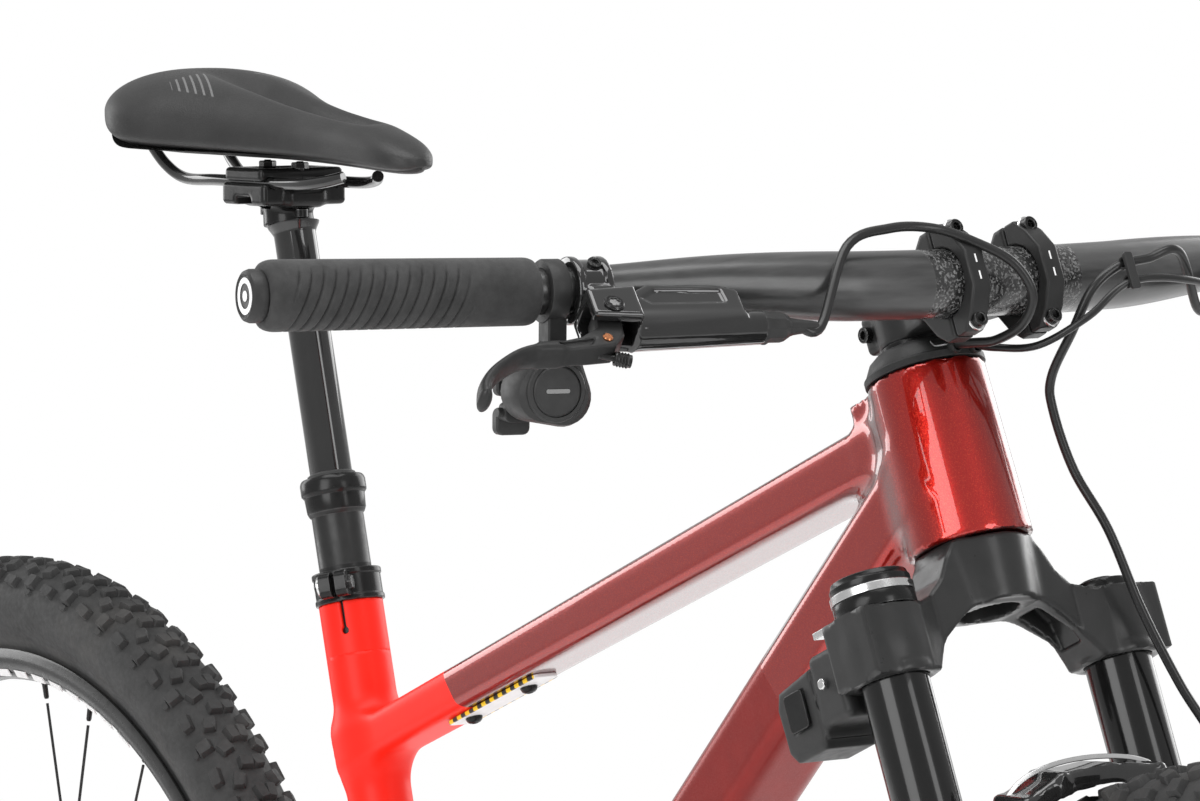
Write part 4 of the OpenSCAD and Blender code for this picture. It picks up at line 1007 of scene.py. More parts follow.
def build_saddle():
    rings = saddle_rings(64)
    cover = loft(rings[:, ::-1])
    piece("saddle_cover", cover.at(SADDLE), COVER, "saddle_pad", sharp=70, subdivide=1)
    base = saddle_rings(64, 5.0)
    lower = rings[:, :, 2].min(axis=1)
    base[:, :, 2] = np.where(base[:, :, 2] > (lower[:, None] + 2), lower[:, None] + 2,
                             base[:, :, 2] - 1.6)
    shell = loft(base[2:-2, ::-1])
    piece("saddle_base", shell.at(SADDLE), MOULDED, "saddle_shell", sharp=50)


def build_plate():
    """The plate under the top tube with its two domed screws."""
    start = TOP_REAR + (np.linalg.norm(TOP_FRONT - TOP_REAR) * 0.17) * TOP_DIRECTION
    place = aimed(start, TOP_DIRECTION)
    inward = np.sign(np.dot(place[:3, 0], (0, 0, -1)))
    outline = rounded_rectangle(18.6, 96, 5.0)
    plate = prism(outline, 0, 2.4).at(local_frame((13.4 * inward, 0, 46), (0, 1, 0), (0, 0, 1),
                                                  (inward, 0, 0)))
    dome = lathe([(0, 0), (5.0, 0), (5.0, 0.8), (4.4, 2.4), (3.2, 3.4), (1.9, 3.8), (1.6, 3.0), (0, 2.6)],
                 32)
    domes = total(dome.at(local_frame((15.6 * inward, 0, z), (0, 1, 0), (0, 0, 1),
                                      (inward, 0, 0))) for z in (14, 74))
    piece("underside_plate", plate.at(place), PLATE, "accessory_mount", bevel=0.6)
    piece("underside_plate_screws", domes.at(place), BOLT, "accessory_mount")


def build_seat_parts():
    build_seat_tube_top()
    build_collar()
    build_post()
    build_saddle_clamp()
    build_saddle()
    build_plate()


# ---------------------------------------------------------------- handlebar, grips and stem


BAR_LIFT = 2.2


def bar_radius(s):
    """The bar's radius at a distance s along an arm: oversize in the middle, 22.2 mm at the grips."""
    t = np.clip((s - 30) / 150, 0, 1)
    return BAR_R + (BAR_END_R - BAR_R) * t * t * (3 - 2 * t)


def arm_point(s, side=-1):
    lift = BAR_LIFT * math.sin(math.pi * min(max((s - 20) / 190, 0), 1)) ** 2
    x, y, z = at(ARM, s, 0, lift)
    return (x, y * -side, z)


def build_handlebar():
    stations = (344.8, 330, 300, 270, 240, 215, 195, 175, 155, 135, 115, 95, 75, 55, 38, 22)
    right = [arm_point(s) for s in stations]
    radii = [bar_radius(s) for s in stations]
    middle = [tuple(bar_centre + y * SIDEWAYS) for y in (-44, -22, 0, 22, 44)]
    left = [(x, -y, z) for x, y, z in right[::-1]]
    path = curve(right + middle + left, 4)
    sizes = curve([(r, 0, 0) for r in radii + [BAR_R] * 5 + radii[::-1]], 4)[:, 0]
    bar = sweep(path, circle(1.0, 48), (0, 0, 1), scale=sizes)
    piece("handlebar_tube", bar, CARBON, "handlebar", sharp=50)


GRIP_PITCH = 6.4
GRIP_STARTS = 4


def build_grips():
    """Foam sleeves whose outer part has slanting, slightly curved grooves cut into it."""
    around = 144
    turn = np.arange(around) * 2 * math.pi / around
    rings = []
    for x in np.concatenate([np.linspace(GRIP_FROM, GRIP_FROM + 5, 5),
                             np.arange(GRIP_FROM + 6, GRIP_TO - 7, 0.5),
                             np.linspace(GRIP_TO - 7, GRIP_TO, 7)]):
        t = (x - GRIP_FROM) / (GRIP_TO - GRIP_FROM)
        radius = 16.6 + 0.8 * t
        near = np.clip((x - GRIP_FROM) / 5, 0, 1)
        far = np.clip((GRIP_TO - x) / 7, 0, 1)
        radius -= 2.4 * (1 - math.sqrt(1 - (1 - near) ** 2)) + 3.0 * (1 - math.sqrt(1 - (1 - far) ** 2))
        lean = GRIP_STARTS * turn / (2 * math.pi) + 0.16 * np.sin(2 * turn)
        phase = ((x - GRIP_FROM) / GRIP_PITCH + lean) % 1.0
        groove = np.clip(1 - abs(phase - 0.5) / 0.17, 0, 1)
        groove = groove * groove * (3 - 2 * groove)
        fade = np.clip((x - GRIP_FROM - 36) / 8, 0, 1) * np.clip((GRIP_TO - 9 - x) / 5, 0, 1)
        # The grooves stop short of the underside's smooth strip
        strip = np.clip((np.cos(turn + math.pi / 2) + 0.86) * 4, 0, 1)
        r = radius - 1.5 * groove * fade * strip
        rings.append(np.column_stack([np.full(around, x), r * np.cos(turn), r * np.sin(turn)]))
    inner = [np.column_stack([np.full(around, x), 11.2 * np.cos(turn),
                              11.2 * np.sin(turn)]) for x in (GRIP_TO, GRIP_FROM)]
    sleeve = loft(rings + inner, loop=True)
    mirrored_pieces("grip", sleeve.at(ARM), FOAM, "grips", sharp=60)


def build_bar_plugs():
    along = facing_ahead((0, 0, 0))
    plug = lathe([(0, 320), (8.9, 320), (8.9, 345), (12.4, 345.2), (13.0, 346.4), (13.0, 350.5),
                  (12.2, 352.6), (10.8, 353.5), (10.2, 353.2), (9.8, 352.7), (0, 352.7)], 64)
    disc = lathe([(6.2, 352.8), (8.9, 352.8), (8.9, 353.1), (6.2, 353.1)], 48, loop=True).tint(1)
    dot = lathe([(0, 352.8), (2.6, 352.8), (2.6, 353.1), (0, 353.1)], 32).tint(1)
    shape = (plug + disc + dot).at(along).at(ARM)
    mirrored_pieces("bar_plug", shape, [MOULDED, WHITE], "bar_plugs", sharp=30)


STEM_LOW = COVER_TOP + 3.4
CLAMP_Y = 24.0


def stem_field(q):
    clamp = rod_field(q, (0, 0, STEM_LOW), (0, 0, STEM_LOW + 27), 19.4, edge=1.6)
    lug = block_field(q, (-20.5, 0, STEM_LOW + 13.5), (7.0, 11.5, 10.5), 3.0)
    value = smooth_union(3.0, clamp, lug)
    side = abs(q[..., 1])
    arm = outline_field(q[..., 0], side, ((4, -1), (4, 15), (30, 20), (44, 30), (63, 30), (63, 18),
                                          (48, 15), (40, 4), (38, -1)))
    arm = smooth_common(3.0, arm, abs(q[..., 2] - 122.5) - (11.0 + 0.06 * (q[..., 0] - 10)))
    block = outline_field(q[..., 0] - STEM_REACH, q[..., 2] - BAR_HEIGHT,
                          ((-0.4, -29), (-8, -29), (-15, -23), (-23, -10), (-23, 10), (-15, 23), (-8, 29),
                           (-0.4, 29)))
    block = smooth_common(1.6, block, abs(side - CLAMP_Y) - 6.0)
    value = smooth_union(5.0, value, arm)
    value = smooth_union(2.5, value, block)
    bore = np.hypot(q[..., 0] - STEM_REACH, q[..., 2] - BAR_HEIGHT) - (BAR_R + 0.1)
    steerer = np.hypot(q[..., 0], q[..., 1]) - 14.4
    slot = np.maximum(abs(q[..., 1]) - 1.0, q[..., 0] + 12)
    value = smooth_cut(0.5, value, bore)
    return np.maximum(smooth_cut(0.5, value, steerer), -slot)


def band_outline():
    outer = [(0.4, -29), (8.5, -29), (16.5, -21), (23.5, -9.5), (23.5, 9.5), (16.5, 21), (8.5, 29),
             (0.4, 29)]
    start = math.acos(0.4 / (BAR_R + 0.1))
    arc = [((BAR_R + 0.1) * math.cos(a), (BAR_R + 0.1) * math.sin(a)) for a in np.linspace(start, -start,
            25)]
    return outer + arc


def build_stem():
    shape = skin(stem_field, (-30, -34, 86), (70, 34, 153), 1.15)
    piece("stem_body", shape.at(STEER), BLASTED, "stem", sharp=50)
    bands, marks = [], []
    for y in (-CLAMP_Y, CLAMP_Y):
        place = facing_right((STEM_REACH, y + 6, BAR_HEIGHT))
        bands.append(prism(band_outline(), 0, 12).at(place))
        for z in (-4.5, 4.5):
            marks.append(box(0, 0.25, y - 0.45, y + 0.45, z - 2.2, z + 2.2).shift(STEM_REACH + 23.4, 0,
                    BAR_HEIGHT))
    piece("stem_bands", total(bands).at(STEER), BLASTED, "stem_clamp_bands", bevel=1.5)
    piece("stem_band_marks", total(marks).at(STEER), WHITE, "stem_clamp_bands")
    screws = []
    for y in (-CLAMP_Y, CLAMP_Y):
        for z in (-24.5, 24.5):
            place = facing_ahead((STEM_REACH + 11.6, y, BAR_HEIGHT + z))
            screws.append(socket_bolt(4.2, 4.4, 0.52).at(place))
            screws.append(lathe([(4.25, -0.4), (5.3, -0.4), (5.3, 0.5), (4.9, 0.8), (4.25, 0.8)], 32,
                                loop=True).tint(1).at(place))
    steerer_screw = local_frame((-22, -11.6, STEM_LOW + 13.5), (1, 0, 0), (0, 0, -1), (0, -1, 0))
    screws.append(socket_bolt(4.2, 4.2, 0.52).at(steerer_screw))
    cap = lathe([(0, 138.6), (16.6, 138.6), (17.2, 139.4), (17.2, 140.6), (15.6, 142.2), (6.5, 142.6),
                 (5.8, 141.4), (0, 141.4)], 64)
    screws.append(cap)
    screws.append(socket_bolt(4.6, 3.0, 0.55).shift(0, 0, 140.2))
    piece("stem_screws", total(screws).at(STEER), [BOLT, SILVER], "stem_bolts")


def build_headset_cover():
    cover = lathe([(14.4, HEAD_LENGTH + 0.2), (31.8, HEAD_LENGTH + 0.2), (31.8, 97.4), (30.6, 98.2),
                   (30.4, 98.8), (27.2, 104.6), (23.4, 107.6), (22.4, 107.9), (14.4, 107.9)], 96,
                  loop=True)
    spacer = lathe([(14.4, 108.1), (19.0, 108.1), (19.3, 108.5), (19.3, 111.0), (19.0, 111.3),
                    (14.4, 111.3)], 72, loop=True)
    insert = prism(rounded_rectangle(11, 6.5, 2), 0,
                   1.2).at(local_frame((28.0, -8, 101.5), (0.27, 0.96, 0), (-0.6, 0.17, 0.78),
                                       unit((0.75, -0.21, 0.62))))
    piece("headset_cone", cover.at(STEER), MOULDED, "headset_cover", bevel=0.3)
    piece("headset_spacer", spacer.at(STEER), ANODISED, "headset_cover")
    piece("headset_insert", insert.at(STEER), DARK_STEEL, "headset_cover", bevel=0.4)


# ---------------------------------------------------------------- brake, lever and pod


HOSE_Y, HOSE_Z = 35.0, 5.0


def brake_master_field(q):
    x, y, z = q[..., 0], q[..., 1], q[..., 2]
    barrel = rod_field(q, (92, HOSE_Y, HOSE_Z), (166, HOSE_Y + 3, HOSE_Z + 1), 8.4, 9.6, edge=2.0)
    plate = outline_field(x, y, ((102, 17), (110, 14), (150, 12), (168, 22), (190, 28), (190, 44),
                                 (160, 44), (104, 38)))
    plate = smooth_common(2.0, plate, abs(z - 10.0) - 4.6)
    bracket = smooth_common(2.0, outline_field(x, y, ((164, 24), (190, 26), (192, 44), (166, 46))),
                            abs(z - 12.0) - 12.6)
    arm = block_field(q, (173, 18, 5), (7.5, 9, 8), 2.5)
    ring = smooth_common(1.0, np.hypot(y, z) - 15.2, abs(x - 175) - 9.5)
    rims = smooth_common(0.8, np.hypot(y, z) - 16.8, abs(abs(x - 175) - 7.4) - 1.9)
    value = smooth_union(2.0, barrel, plate)
    value = smooth_union(2.5, value, bracket, arm)
    value = smooth_union(1.0, value, ring, rims)
    scoop = outline_field(x, y, ((112, 18), (148, 17), (156, 22), (152, 26), (112, 26)))
    value = smooth_cut(1.2, value, smooth_common(0.5, scoop, 13.4 - z))
    slot = np.maximum(np.maximum(30.5 - y, abs(z - 11.85) - 7.6), 167 - x)
    value = smooth_cut(0.6, value, slot)
    return smooth_cut(0.4, value, np.hypot(y, z) - 11.25)


def torx_screw(radius, height):
    """A screw's head with a six-lobed socket."""
    turn = np.arange(36) * 2 * math.pi / 36
    socket = radius * 0.52 * (1 + 0.16 * np.cos(6 * turn))
    lobes = np.stack([socket * np.cos(turn), socket * np.sin(turn)], 1)
    rings = [level(circle(r, 36), z) for r, z in ((radius, 0), (radius, height - 0.7),
                                                  (radius - 0.7, height), (radius * 0.7, height))]
    rings += [level(lobes, z) for z in (height, height * 0.4)]
    return loft(rings)


def build_brakes():
    body = skin(brake_master_field, (86, -19, -20), (196, 52, 28), 1.0).at(BRAKE)
    mirrored_pieces("brake_body", body, GLOSS, "brake_masters", sharp=50)
    boot = lathe([(2.6, -62), (3.6, -70), (4.4, -76), (5.0, -78), (7.4, -82), (7.9, -84), (7.9, -90),
                  (8.9, -92), (8.9, -94), (3, -94)][::-1], 10)
    boot = boot.at(local_frame((0, HOSE_Y, HOSE_Z), (0, 1, 0), (0, 0, 1), (-1, 0, 0)))
    mirrored_pieces("brake_boot", boot.at(BRAKE), MOULDED, "brake_masters", bevel=0.5)
    pin_top = LEVER_PIVOT + (0, 0, 10.6)
    screws = torx_screw(5.2, 2.4).shift(*pin_top) + socket_bolt(3.6, 2.2).shift(173, -2,
            15.0) + torx_screw(3.4, 1.6).shift(162, 24.5, 14.2)
    mirrored_pieces("brake_screws", screws.at(BRAKE), BOLT, "brake_masters")


LEVER_Z = 11.0


def lever_field(q):
    """A broad arm at the pivot that narrows into a hooked blade for one finger."""
    x, y, z = q[..., 0], q[..., 1], q[..., 2]
    arm = outline_field(x, y, ((174, 36), (180, 31.5), (187, 34), (190, 46), (200, 52), (212, 54.6),
                               (224, 55.4), (224, 61.4), (210, 61.6), (196, 60.4), (184, 59), (177, 52)))
    arm = smooth_common(1.6, arm, abs(z - LEVER_Z) - (6.4 - 0.02 * np.clip(x - 180, 0, 50)))
    # Along the blade: x, y and half thickness; the blade is twice as high as it is thick
    blade = curve([(214, 58.4, 3.4), (226, 59.2, 3.4), (236, 62, 3.2), (246, 68, 3.1), (254, 74.5, 3.1),
                   (260, 82, 3.1), (262.5, 89, 3.4)], 4)
    squashed = np.stack([x, y, (z - LEVER_Z) * 0.46], -1)
    rods = [rod_field(squashed, (*a[:2], 0), (*b[:2], 0), a[2], b[2],
                      flat=False) for a, b in zip(blade[:-1], blade[1:])]
    value = smooth_union(3.0, arm, np.minimum.reduce(rods))
    pocket = outline_field(x, y, ((193, 53.6), (214, 56.6), (214, 58.6), (196, 57.6)))
    value = smooth_cut(1.0, value, smooth_common(0.8, pocket, LEVER_Z + 4.2 - z))
    return smooth_cut(0.4, value, np.hypot(x - LEVER_PIVOT[0], y - LEVER_PIVOT[1]) - 3.1)


def build_levers():
    blade = skin(lever_field, (170, 28, 2), (268, 94, 20), 0.9).at(BRAKE)
    knob = lathe([(0, 0), (3.4, 0), (3.6, 0.6)] + [(3.9 if k % 2 else 3.2,
                                                    1.2 + 0.75 * k) for k in range(9)] + [(3.2, 8.4),
            (0, 8.8)], 18)
    knob = knob.at(local_frame((184, 61, LEVER_Z - 1), (0, 0, 1), (0.3, 0.95, 0), unit((-0.95, 0.3, 0))))
    stud = lathe([(0, -8), (1.6, -8), (1.6, 2), (0, 2)],
                 16).at(local_frame((184, 61, LEVER_Z - 1), (0, 0, 1), (0.3, 0.95, 0),
                                    unit((-0.95, 0.3, 0))))
    pin = lathe([(0, -6.8), (2.6, -6.8), (2.6, 6.8), (2.0, 7.4), (0, 7.4)], 24).shift(187, 54, LEVER_Z)
    pivot = lathe([(0, -11), (3, -11), (3, 12.4), (0, 12.4)], 24).shift(*LEVER_PIVOT)
    mirrored_pieces("lever_blade", blade, BLASTED, "{}_brake_lever", sharp=50)
    mirrored_pieces("lever_adjuster", (knob + stud).at(BRAKE), ANODISED, "{}_brake_lever", sharp=20)
    mirrored_pieces("lever_pins", (pin + pivot.tint(1)).at(BRAKE), [COPPER, DARK_STEEL], "{}_brake_lever")


def rounded_triangle(radius, corner, turn, steps=10):
    points = []
    for k in range(3):
        middle = math.radians(turn + 120 * k)
        cx, cy = (radius - corner) * math.cos(middle), (radius - corner) * math.sin(middle)
        for a in np.linspace(-math.pi / 3, math.pi / 3, steps):
            points.append((cx + corner * math.cos(middle + a), cy + corner * math.sin(middle + a)))
    return np.array(points)


def build_pods():
    """The wireless pods: a rounded body under the bar, a coin-slot battery cover and a strap."""
    outline = rounded_triangle(21.5, 14.5, 100)
    rings = []
    for y, grow in ((-0.6, -2.4), (0.4, -0.8), (2.5, 0), (17, 0), (21, -1.0), (23, -3.4)):
        scaled = outline * (1 + grow / 19)
        rings.append(np.column_stack([scaled[:, 0] + POD_AT[0], np.full(len(outline), y),
                                      scaled[:, 1] + POD_AT[2]]))
    body = loft([r[::-1] for r in rings])
    to_front = facing_left((POD_AT[0] + 1, 23.0, POD_AT[2] - 1))
    rim = lathe([(12.8, -1.5), (15.4, -1.5), (15.6, 0.4), (14.8, 1.5), (12.8, 1.5)], 48,
                loop=True).at(to_front)
    cover = lathe([(12.6, -1), (12.6, 1.2), (11.6, 2.0), (4.2, 2.3), (0, 2.3)], 48).at(to_front)
    slot = prism(rounded_rectangle(13, 2.4, 1.1), 2.2, 2.6).tint(1).at(to_front)
    strap = box(187.5, 197.5, -4, 9, -36, -11)
    ring = lathe([(11.3, -5), (15.2, -5), (15.8, -4), (15.8, 4), (15.2, 5), (11.3, 5)], 48,
                 loop=True).at(facing_ahead((193, 0, 0)))
    shape = body + rim + cover + slot + ring
    mirrored_pieces("pod_body", shape.at(ARM), [MOULDED, GLOSS], "shift_pods", bevel=0.5)
    mirrored_pieces("pod_strap", strap.at(ARM), MOULDED, "shift_pods", bevel=1.2)


def paddle_shape(z):
    """A thumb paddle with a dished, ribbed face on a short stalk."""
    x, y = POD_AT[0] + 8, POD_AT[1]
    pad = loft([np.column_stack([rounded_rectangle(18 - e, 13.4 - e, 3.4),
                                 np.full(20, d)]) for e, d in ((1.6, 0), (0, 1.0), (0, 5.6), (1.4, 7.2),
                                                               (4.0, 7.4), (6.0, 6.5))])
    pad = pad.at(facing_right((x, y - 22.2, z - 5)))
    stalk = prism(rounded_rectangle(17, 9.4, 3), 0, 8.8).at(facing_right((x, y - 13.4, z)))
    pin = lathe([(0, -11), (2.4, -11), (2.4, 11), (0, 11)], 20).at(facing_ahead((x, y - 18, z)))
    ribs = total(box(x - 6, x + 6, y - 29.4, y - 28.4, z - 5 + k - 0.45, z - 5 + k + 0.45) for k in (-3,
            -1, 1, 3))
    return pad + stalk + pin + ribs


def build_paddles():
    for name, z, mirror in (("upshift", 6, False), ("downshift", -13, False), ("dropper", -2, True)):
        shape = paddle_shape(POD_AT[2] + z).at(ARM)
        shape = shape.at(MIRROR) if mirror else shape
        piece(name + "_pad", shape, MOULDED, name + "_paddle", bevel=0.4)


# ---------------------------------------------------------------- hoses, in the steering frame

COVER_ENTRY = np.array([29.8, 0.0, COVER_TOP - 8.4])
REAR_BRAKE_HOSE = [(79.2, -141, 111), (80, -120, 123), (81, -95, 136), (81, -65, 145), (84, -40, 143),
                   (90, -22, 133), (96, -6, 119), (93, 4, 103), (80, 4, 92), (62, 0, 90), (46, -2, 94.5),
                   tuple(COVER_ENTRY + (1.4, -3, 0))]
DROPPER_HOSE = [(84, 150, 98), (104, 100, 102), (104, 60, 103), (90, 38, 90), (66, 22, 84.5),
                (44, 13, 92), tuple(COVER_ENTRY + (-0.2, 10, 0))]
FRONT_BRAKE_HOSE = [(90, 140, 110), (106, 95, 117), (103.9, 75, 115), (100, 58, 113), (92, 44, 104),
                    (76, 38, 88), (52, 37, 72), (44, 39, 57), (39.1, 46, 25.6), (41.4, 56, -8.3),
                    (36, 68, -49.5), (31, 84, -89.6), (32, 100, -135.7), (20, 103, -185), (-22, 95, -310),
                    (-38, 62, -428)]


def build_hoses():
    tail = [tuple(at(np.linalg.inv(STEER), *at(BRAKE, x, HOSE_Y, HOSE_Z))) for x in (72, 60)]
    rear = curve(tail + REAR_BRAKE_HOSE[2:], 8)
    piece("rear_brake_hose", sweep(rear, circle(2.5, 14)).at(STEER), HOSE, "control_hoses", sharp=60)
    dropper = curve(DROPPER_HOSE, 8)
    piece("dropper_hose", sweep(dropper, circle(2.0, 14)).at(STEER), HOSE, "control_hoses", sharp=60)
    ferrules = total(lathe([(2.4, 0), (3.6, 0), (3.8, 0.6), (3.8, 5), (3.2, 6.4), (2.4, 6.4)], 20,
                           loop=True).at(aimed(COVER_ENTRY + (-1.5, y, -0.6),
                                               (1, 0, -0.25 if y < 0 else -0.4))) for y in (-3, 10))
    piece("hose_ferrules", ferrules.at(STEER), MOULDED, "control_hoses")
    clip = prism(rounded_rectangle(5.5, 20, 1.5), -1.2, 1.2).at(facing_ahead((106.4, 60, 108)))
    loops = total(lathe([(2.3, -2.5), (3.6, -2.5), (3.6, 2.5), (2.3, 2.5)], 20,
                        loop=True).at(facing_left((104, 60, z))) for z in (103, 113))
    piece("hose_clip", (clip + loops).at(STEER), MOULDED, "control_hoses", bevel=0.5)
    mirrored_tail = [(x, -y, z) for x, y, z in tail]
    front = curve(mirrored_tail + FRONT_BRAKE_HOSE[1:], 10)
    shape = sweep(front, circle(2.5, 14)).at(STEER)
    obj = piece("front_hose", shape, HOSE, "front_brake_hose", ride=False, sharp=60)
    lower = at(STEER, 0, 0, -300)
    upper = at(STEER, 0, 0, -130)
    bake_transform(obj)


def build_cockpit():
    build_handlebar()
    build_grips()
    build_bar_plugs()
    build_stem()
    build_headset_cover()
    build_brakes()
    build_levers()
    build_pods()
    build_paddles()
    build_hoses()


# ---------------------------------------------------------------- fork, in the steering frame

CROWN_OUTLINE = ((-2, -0.6), (25, -1.0), (31, -8), (37, -19), (46, -27), (56, -31), (95, -31), (95, -67),
                 (53, -67), (50, -62), (42, -50), (30, -40.5), (20, -34), (-2, -34))


def crown_field(q):
    x, y, z = q[..., 0], abs(q[..., 1]), q[..., 2]
    cone = rod_field(q, (0, 0, -34), (0, 0, -0.6), 25.5, 28.5, edge=1.4)
    wide = 17.5 - 4.5 * np.clip((y - 20) / 25, 0, 1) + 6 * np.clip((y - 45) / 15, 0, 1)
    arms = smooth_common(1.6, outline_field(y, z, CROWN_OUTLINE),
                         abs(x - LEG_X * np.clip(y / LEG_Y, 0, 1)) - wide)
    socket = np.hypot(x - LEG_X, y - LEG_Y)
    barrel = smooth_common(1.6, socket - (20.8 + 0.9 * np.exp(-((z + 49) / 10) ** 2)), abs(z + 49) - 18)
    lip = smooth_common(1.0, socket - 21.9, abs(z + 64.3) - 2.6)
    value = smooth_union(5.0, cone, arms)
    value = smooth_union(3.0, np.maximum(value, np.where(socket > 30, -40.0, 20.0) - socket), barrel)
    value = np.minimum(value, lip)
    value = smooth_cut(0.5, value, np.maximum(socket - 21.8, -31.0 - z))
    value = smooth_cut(0.5, value, socket - (STANCHION_R + 0.15))
    # Hollowed underside of each arm, and the open steerer
    hollow = outline_field(y, z, ((24, -38), (32, -26), (44, -40), (48, -56), (40, -56)))
    value = smooth_cut(1.5, value, smooth_common(2.0, hollow, abs(x) - 8.5))
    bore = rod_field(q, (0, 0, -60), (0, 0, 8), 17.8, 14.0, edge=0.5)
    return smooth_cut(0.8, value, bore)


def leg_place(side):
    return STEER @ shifted(LEG_X, side * LEG_Y, 0)


def build_crown():
    shape = skin(crown_field, (-31, -98, -70), (31, 98, 1), 1.5)
    piece("crown_casting", shape.at(STEER), FORK, "fork_crown", sharp=50)
    steerer = lathe([(11.5, -20), (19.9, -1), (19.9, 9), (14.3, 61), (14.3, STEERER_TOP),
                     (11.5, STEERER_TOP), (11.5, -20)], 64)
    piece("steerer_tube", steerer.at(STEER), SATIN, "fork_crown", sharp=30)


def build_stanchions():
    tube = lathe([(15, -315), (16.8, -315), (STANCHION_R, -314), (STANCHION_R, -34), (15, -33.2)], 72)
    for side, name in ((-1, "right"), (1, "left")):
        piece("stanchion_" + name, tube.at(leg_place(side)), TUBE_BLACK, "stanchions", sharp=40)


def build_caps_and_module():
    cap = lathe([(0, -18.7), (20.6, -18.7), (20.9, -17.6), (20.9, -15.6), (20.2, -14.6), (19.6, -12.6),
                 (18.0, -11.9), (16.8, -12.4), (0, -12.4)], 72)
    piece("module_cap", cap.at(leg_place(-1)), ANODISED, "fork_top_caps", bevel=0.2)
    far = lathe([(0, -30.8), (17, -30.8), (17.4, -28), (16.6, -26), (9.4, -25.6), (9.0, -25.2),
                 (9.0, -23.9), (8.4, -23.4), (0, -23.4)], 6 * 12)
    hexagon = prism(circle(9.2, 6), -26, -23.6)
    piece("spring_cap", (far + hexagon).at(leg_place(1)), ANODISED, "fork_top_caps", bevel=0.3)
    silver = lathe([(18, -23.4), (21.7, -23.4), (21.7, -19.4), (21.2, -18.9), (18, -18.9)], 96, loop=True)
    notch = prism(rounded_rectangle(6.4, 2.4, 1.1), 21.55,
                  21.85).tint(1).at(local_frame((0, 0, -21.2), (-0.53, 0.85, 0), (0, 0, 1),
                                                (0.85, 0.53, 0)))
    dark = lathe([(18, -30.8), (21.0, -30.8), (21.4, -29.8), (21.4, -24.4), (20.9, -23.5), (18, -23.5)],
                 96, loop=True)
    piece("module_silver_ring", (silver + notch).at(leg_place(-1)), [SILVER, MOULDED], "fork_module",
          bevel=0.25)
    piece("module_dark_ring", dark.at(leg_place(-1)), ANODISED, "fork_module")
    strap = skin(module_field, (-86, -24, -90), (-16, 24, -17), 1.2)
    piece("module_body", strap.at(leg_place(-1)), MOULDED, "fork_module", sharp=50)
    latch = prism(rounded_rectangle(16, 20, 2.5), 0, 1.6).at(facing_right((-60, -17.4, -62)))
    link = box(-44, -22, -9, 9, -30, -26.5) + lathe([(0, 0), (3.0, 0), (3.0, 1.6), (2.4, 2.2), (0, 2.2)],
                                                    24).at(facing_right((-33, -18.2, -56)))
    piece("module_latch", latch.at(leg_place(-1)), ANODISED, "fork_module", bevel=0.5)
    piece("module_strap", link.at(leg_place(-1)), SILVER, "fork_module", bevel=0.5)


def module_field(q):
    """The module's bracket by the leg and its tapered battery behind."""
    x, y, z = q[..., 0], q[..., 1], q[..., 2]
    bracket = block_field(q, (-32, 0, -58), (12.5, 17, 19), 4.0)
    battery = outline_field(x, z, ((-44, -44), (-74, -48), (-78, -56), (-77, -80), (-72, -86), (-47, -86),
                                   (-42, -80)))
    battery = smooth_common(3.0, battery, abs(y) - 17.0)
    seam = abs(x + 44.5) - 0.5
    value = smooth_union(2.0, bracket, battery)
    value = smooth_cut(0.6, value, smooth_common(0.5, seam, -(value + 1.0)))
    recess = smooth_common(0.8, outline_field(x, z, ((-52, -52), (-68, -54), (-68, -72), (-52, -72))),
                           16.2 + y)
    value = smooth_cut(0.8, value, recess)
    return smooth_cut(0.6, value, np.hypot(x, y) - 21.8)


def arch_path():
    half = [(LEG_X + 14, LEG_Y - 5, LOWERS_TOP - 12), (33, 64, -168), (43, 50, -147), (48, 30, -138),
            (49, 0, -135)]
    return half + [(x, -y, z) for x, y, z in half[-2::-1]]


def lowers_field(q):
    x, y, z = q[..., 0], abs(q[..., 1]), q[..., 2]
    p = np.stack([x, y, z], -1)
    leg = rod_field(p, (LEG_X, LEG_Y, -480), (LEG_X, LEG_Y, LOWERS_TOP), 20.2, 22.4, edge=1.5)
    collar = smooth_common(1.0, np.hypot(x - LEG_X, y - LEG_Y) - 23.4, abs(z - LOWERS_TOP + 5) - 5)
    foot = rod_field(p, (LEG_X, LEG_Y, -478), (FORK_OFFSET - 8, 67, -FORK_LENGTH + 8), 19.0, 13.5,
                     flat=False)
    dropout = rod_field(p, (FORK_OFFSET, 55.4, -FORK_LENGTH), (FORK_OFFSET, 77, -FORK_LENGTH), 15.0)
    value = smooth_union(3.0, leg, collar)
    value = smooth_union(7.0, value, foot, dropout)
    arch = None
    path = arch_path()[:5]
    for a, b in zip(path[:-1], path[1:]):
        middle, along = (np.array(a) + b) / 2, unit(np.array(b, float) - a)
        length = np.linalg.norm(np.array(b, float) - a) / 2
        offset = p - middle
        s = offset @ along
        wide = unit(np.cross(along, np.cross((1, 0, -0.35), along)))
        thin = np.cross(along, wide)
        beam = smooth_common(2.0, smooth_common(2.0, abs(offset @ wide) - 13.0, abs(offset @ thin) - 5.2),
                             abs(s) - length - 2.5)
        arch = beam if arch is None else smooth_union(4.0, arch, beam)
    value = smooth_union(5.0, value, arch)
    boss = rod_field(p, (-18, 60, -400), (-18, 60, -440), 6)
    value = smooth_union(4.0, value, boss)
    value = smooth_cut(0.5, value, np.maximum(np.hypot(x - LEG_X, y - LEG_Y) - 17.9, -440 - z))
    return smooth_cut(0.5, value, np.maximum(np.hypot(x - FORK_OFFSET, z + FORK_LENGTH) - 7.6, 50 - y))


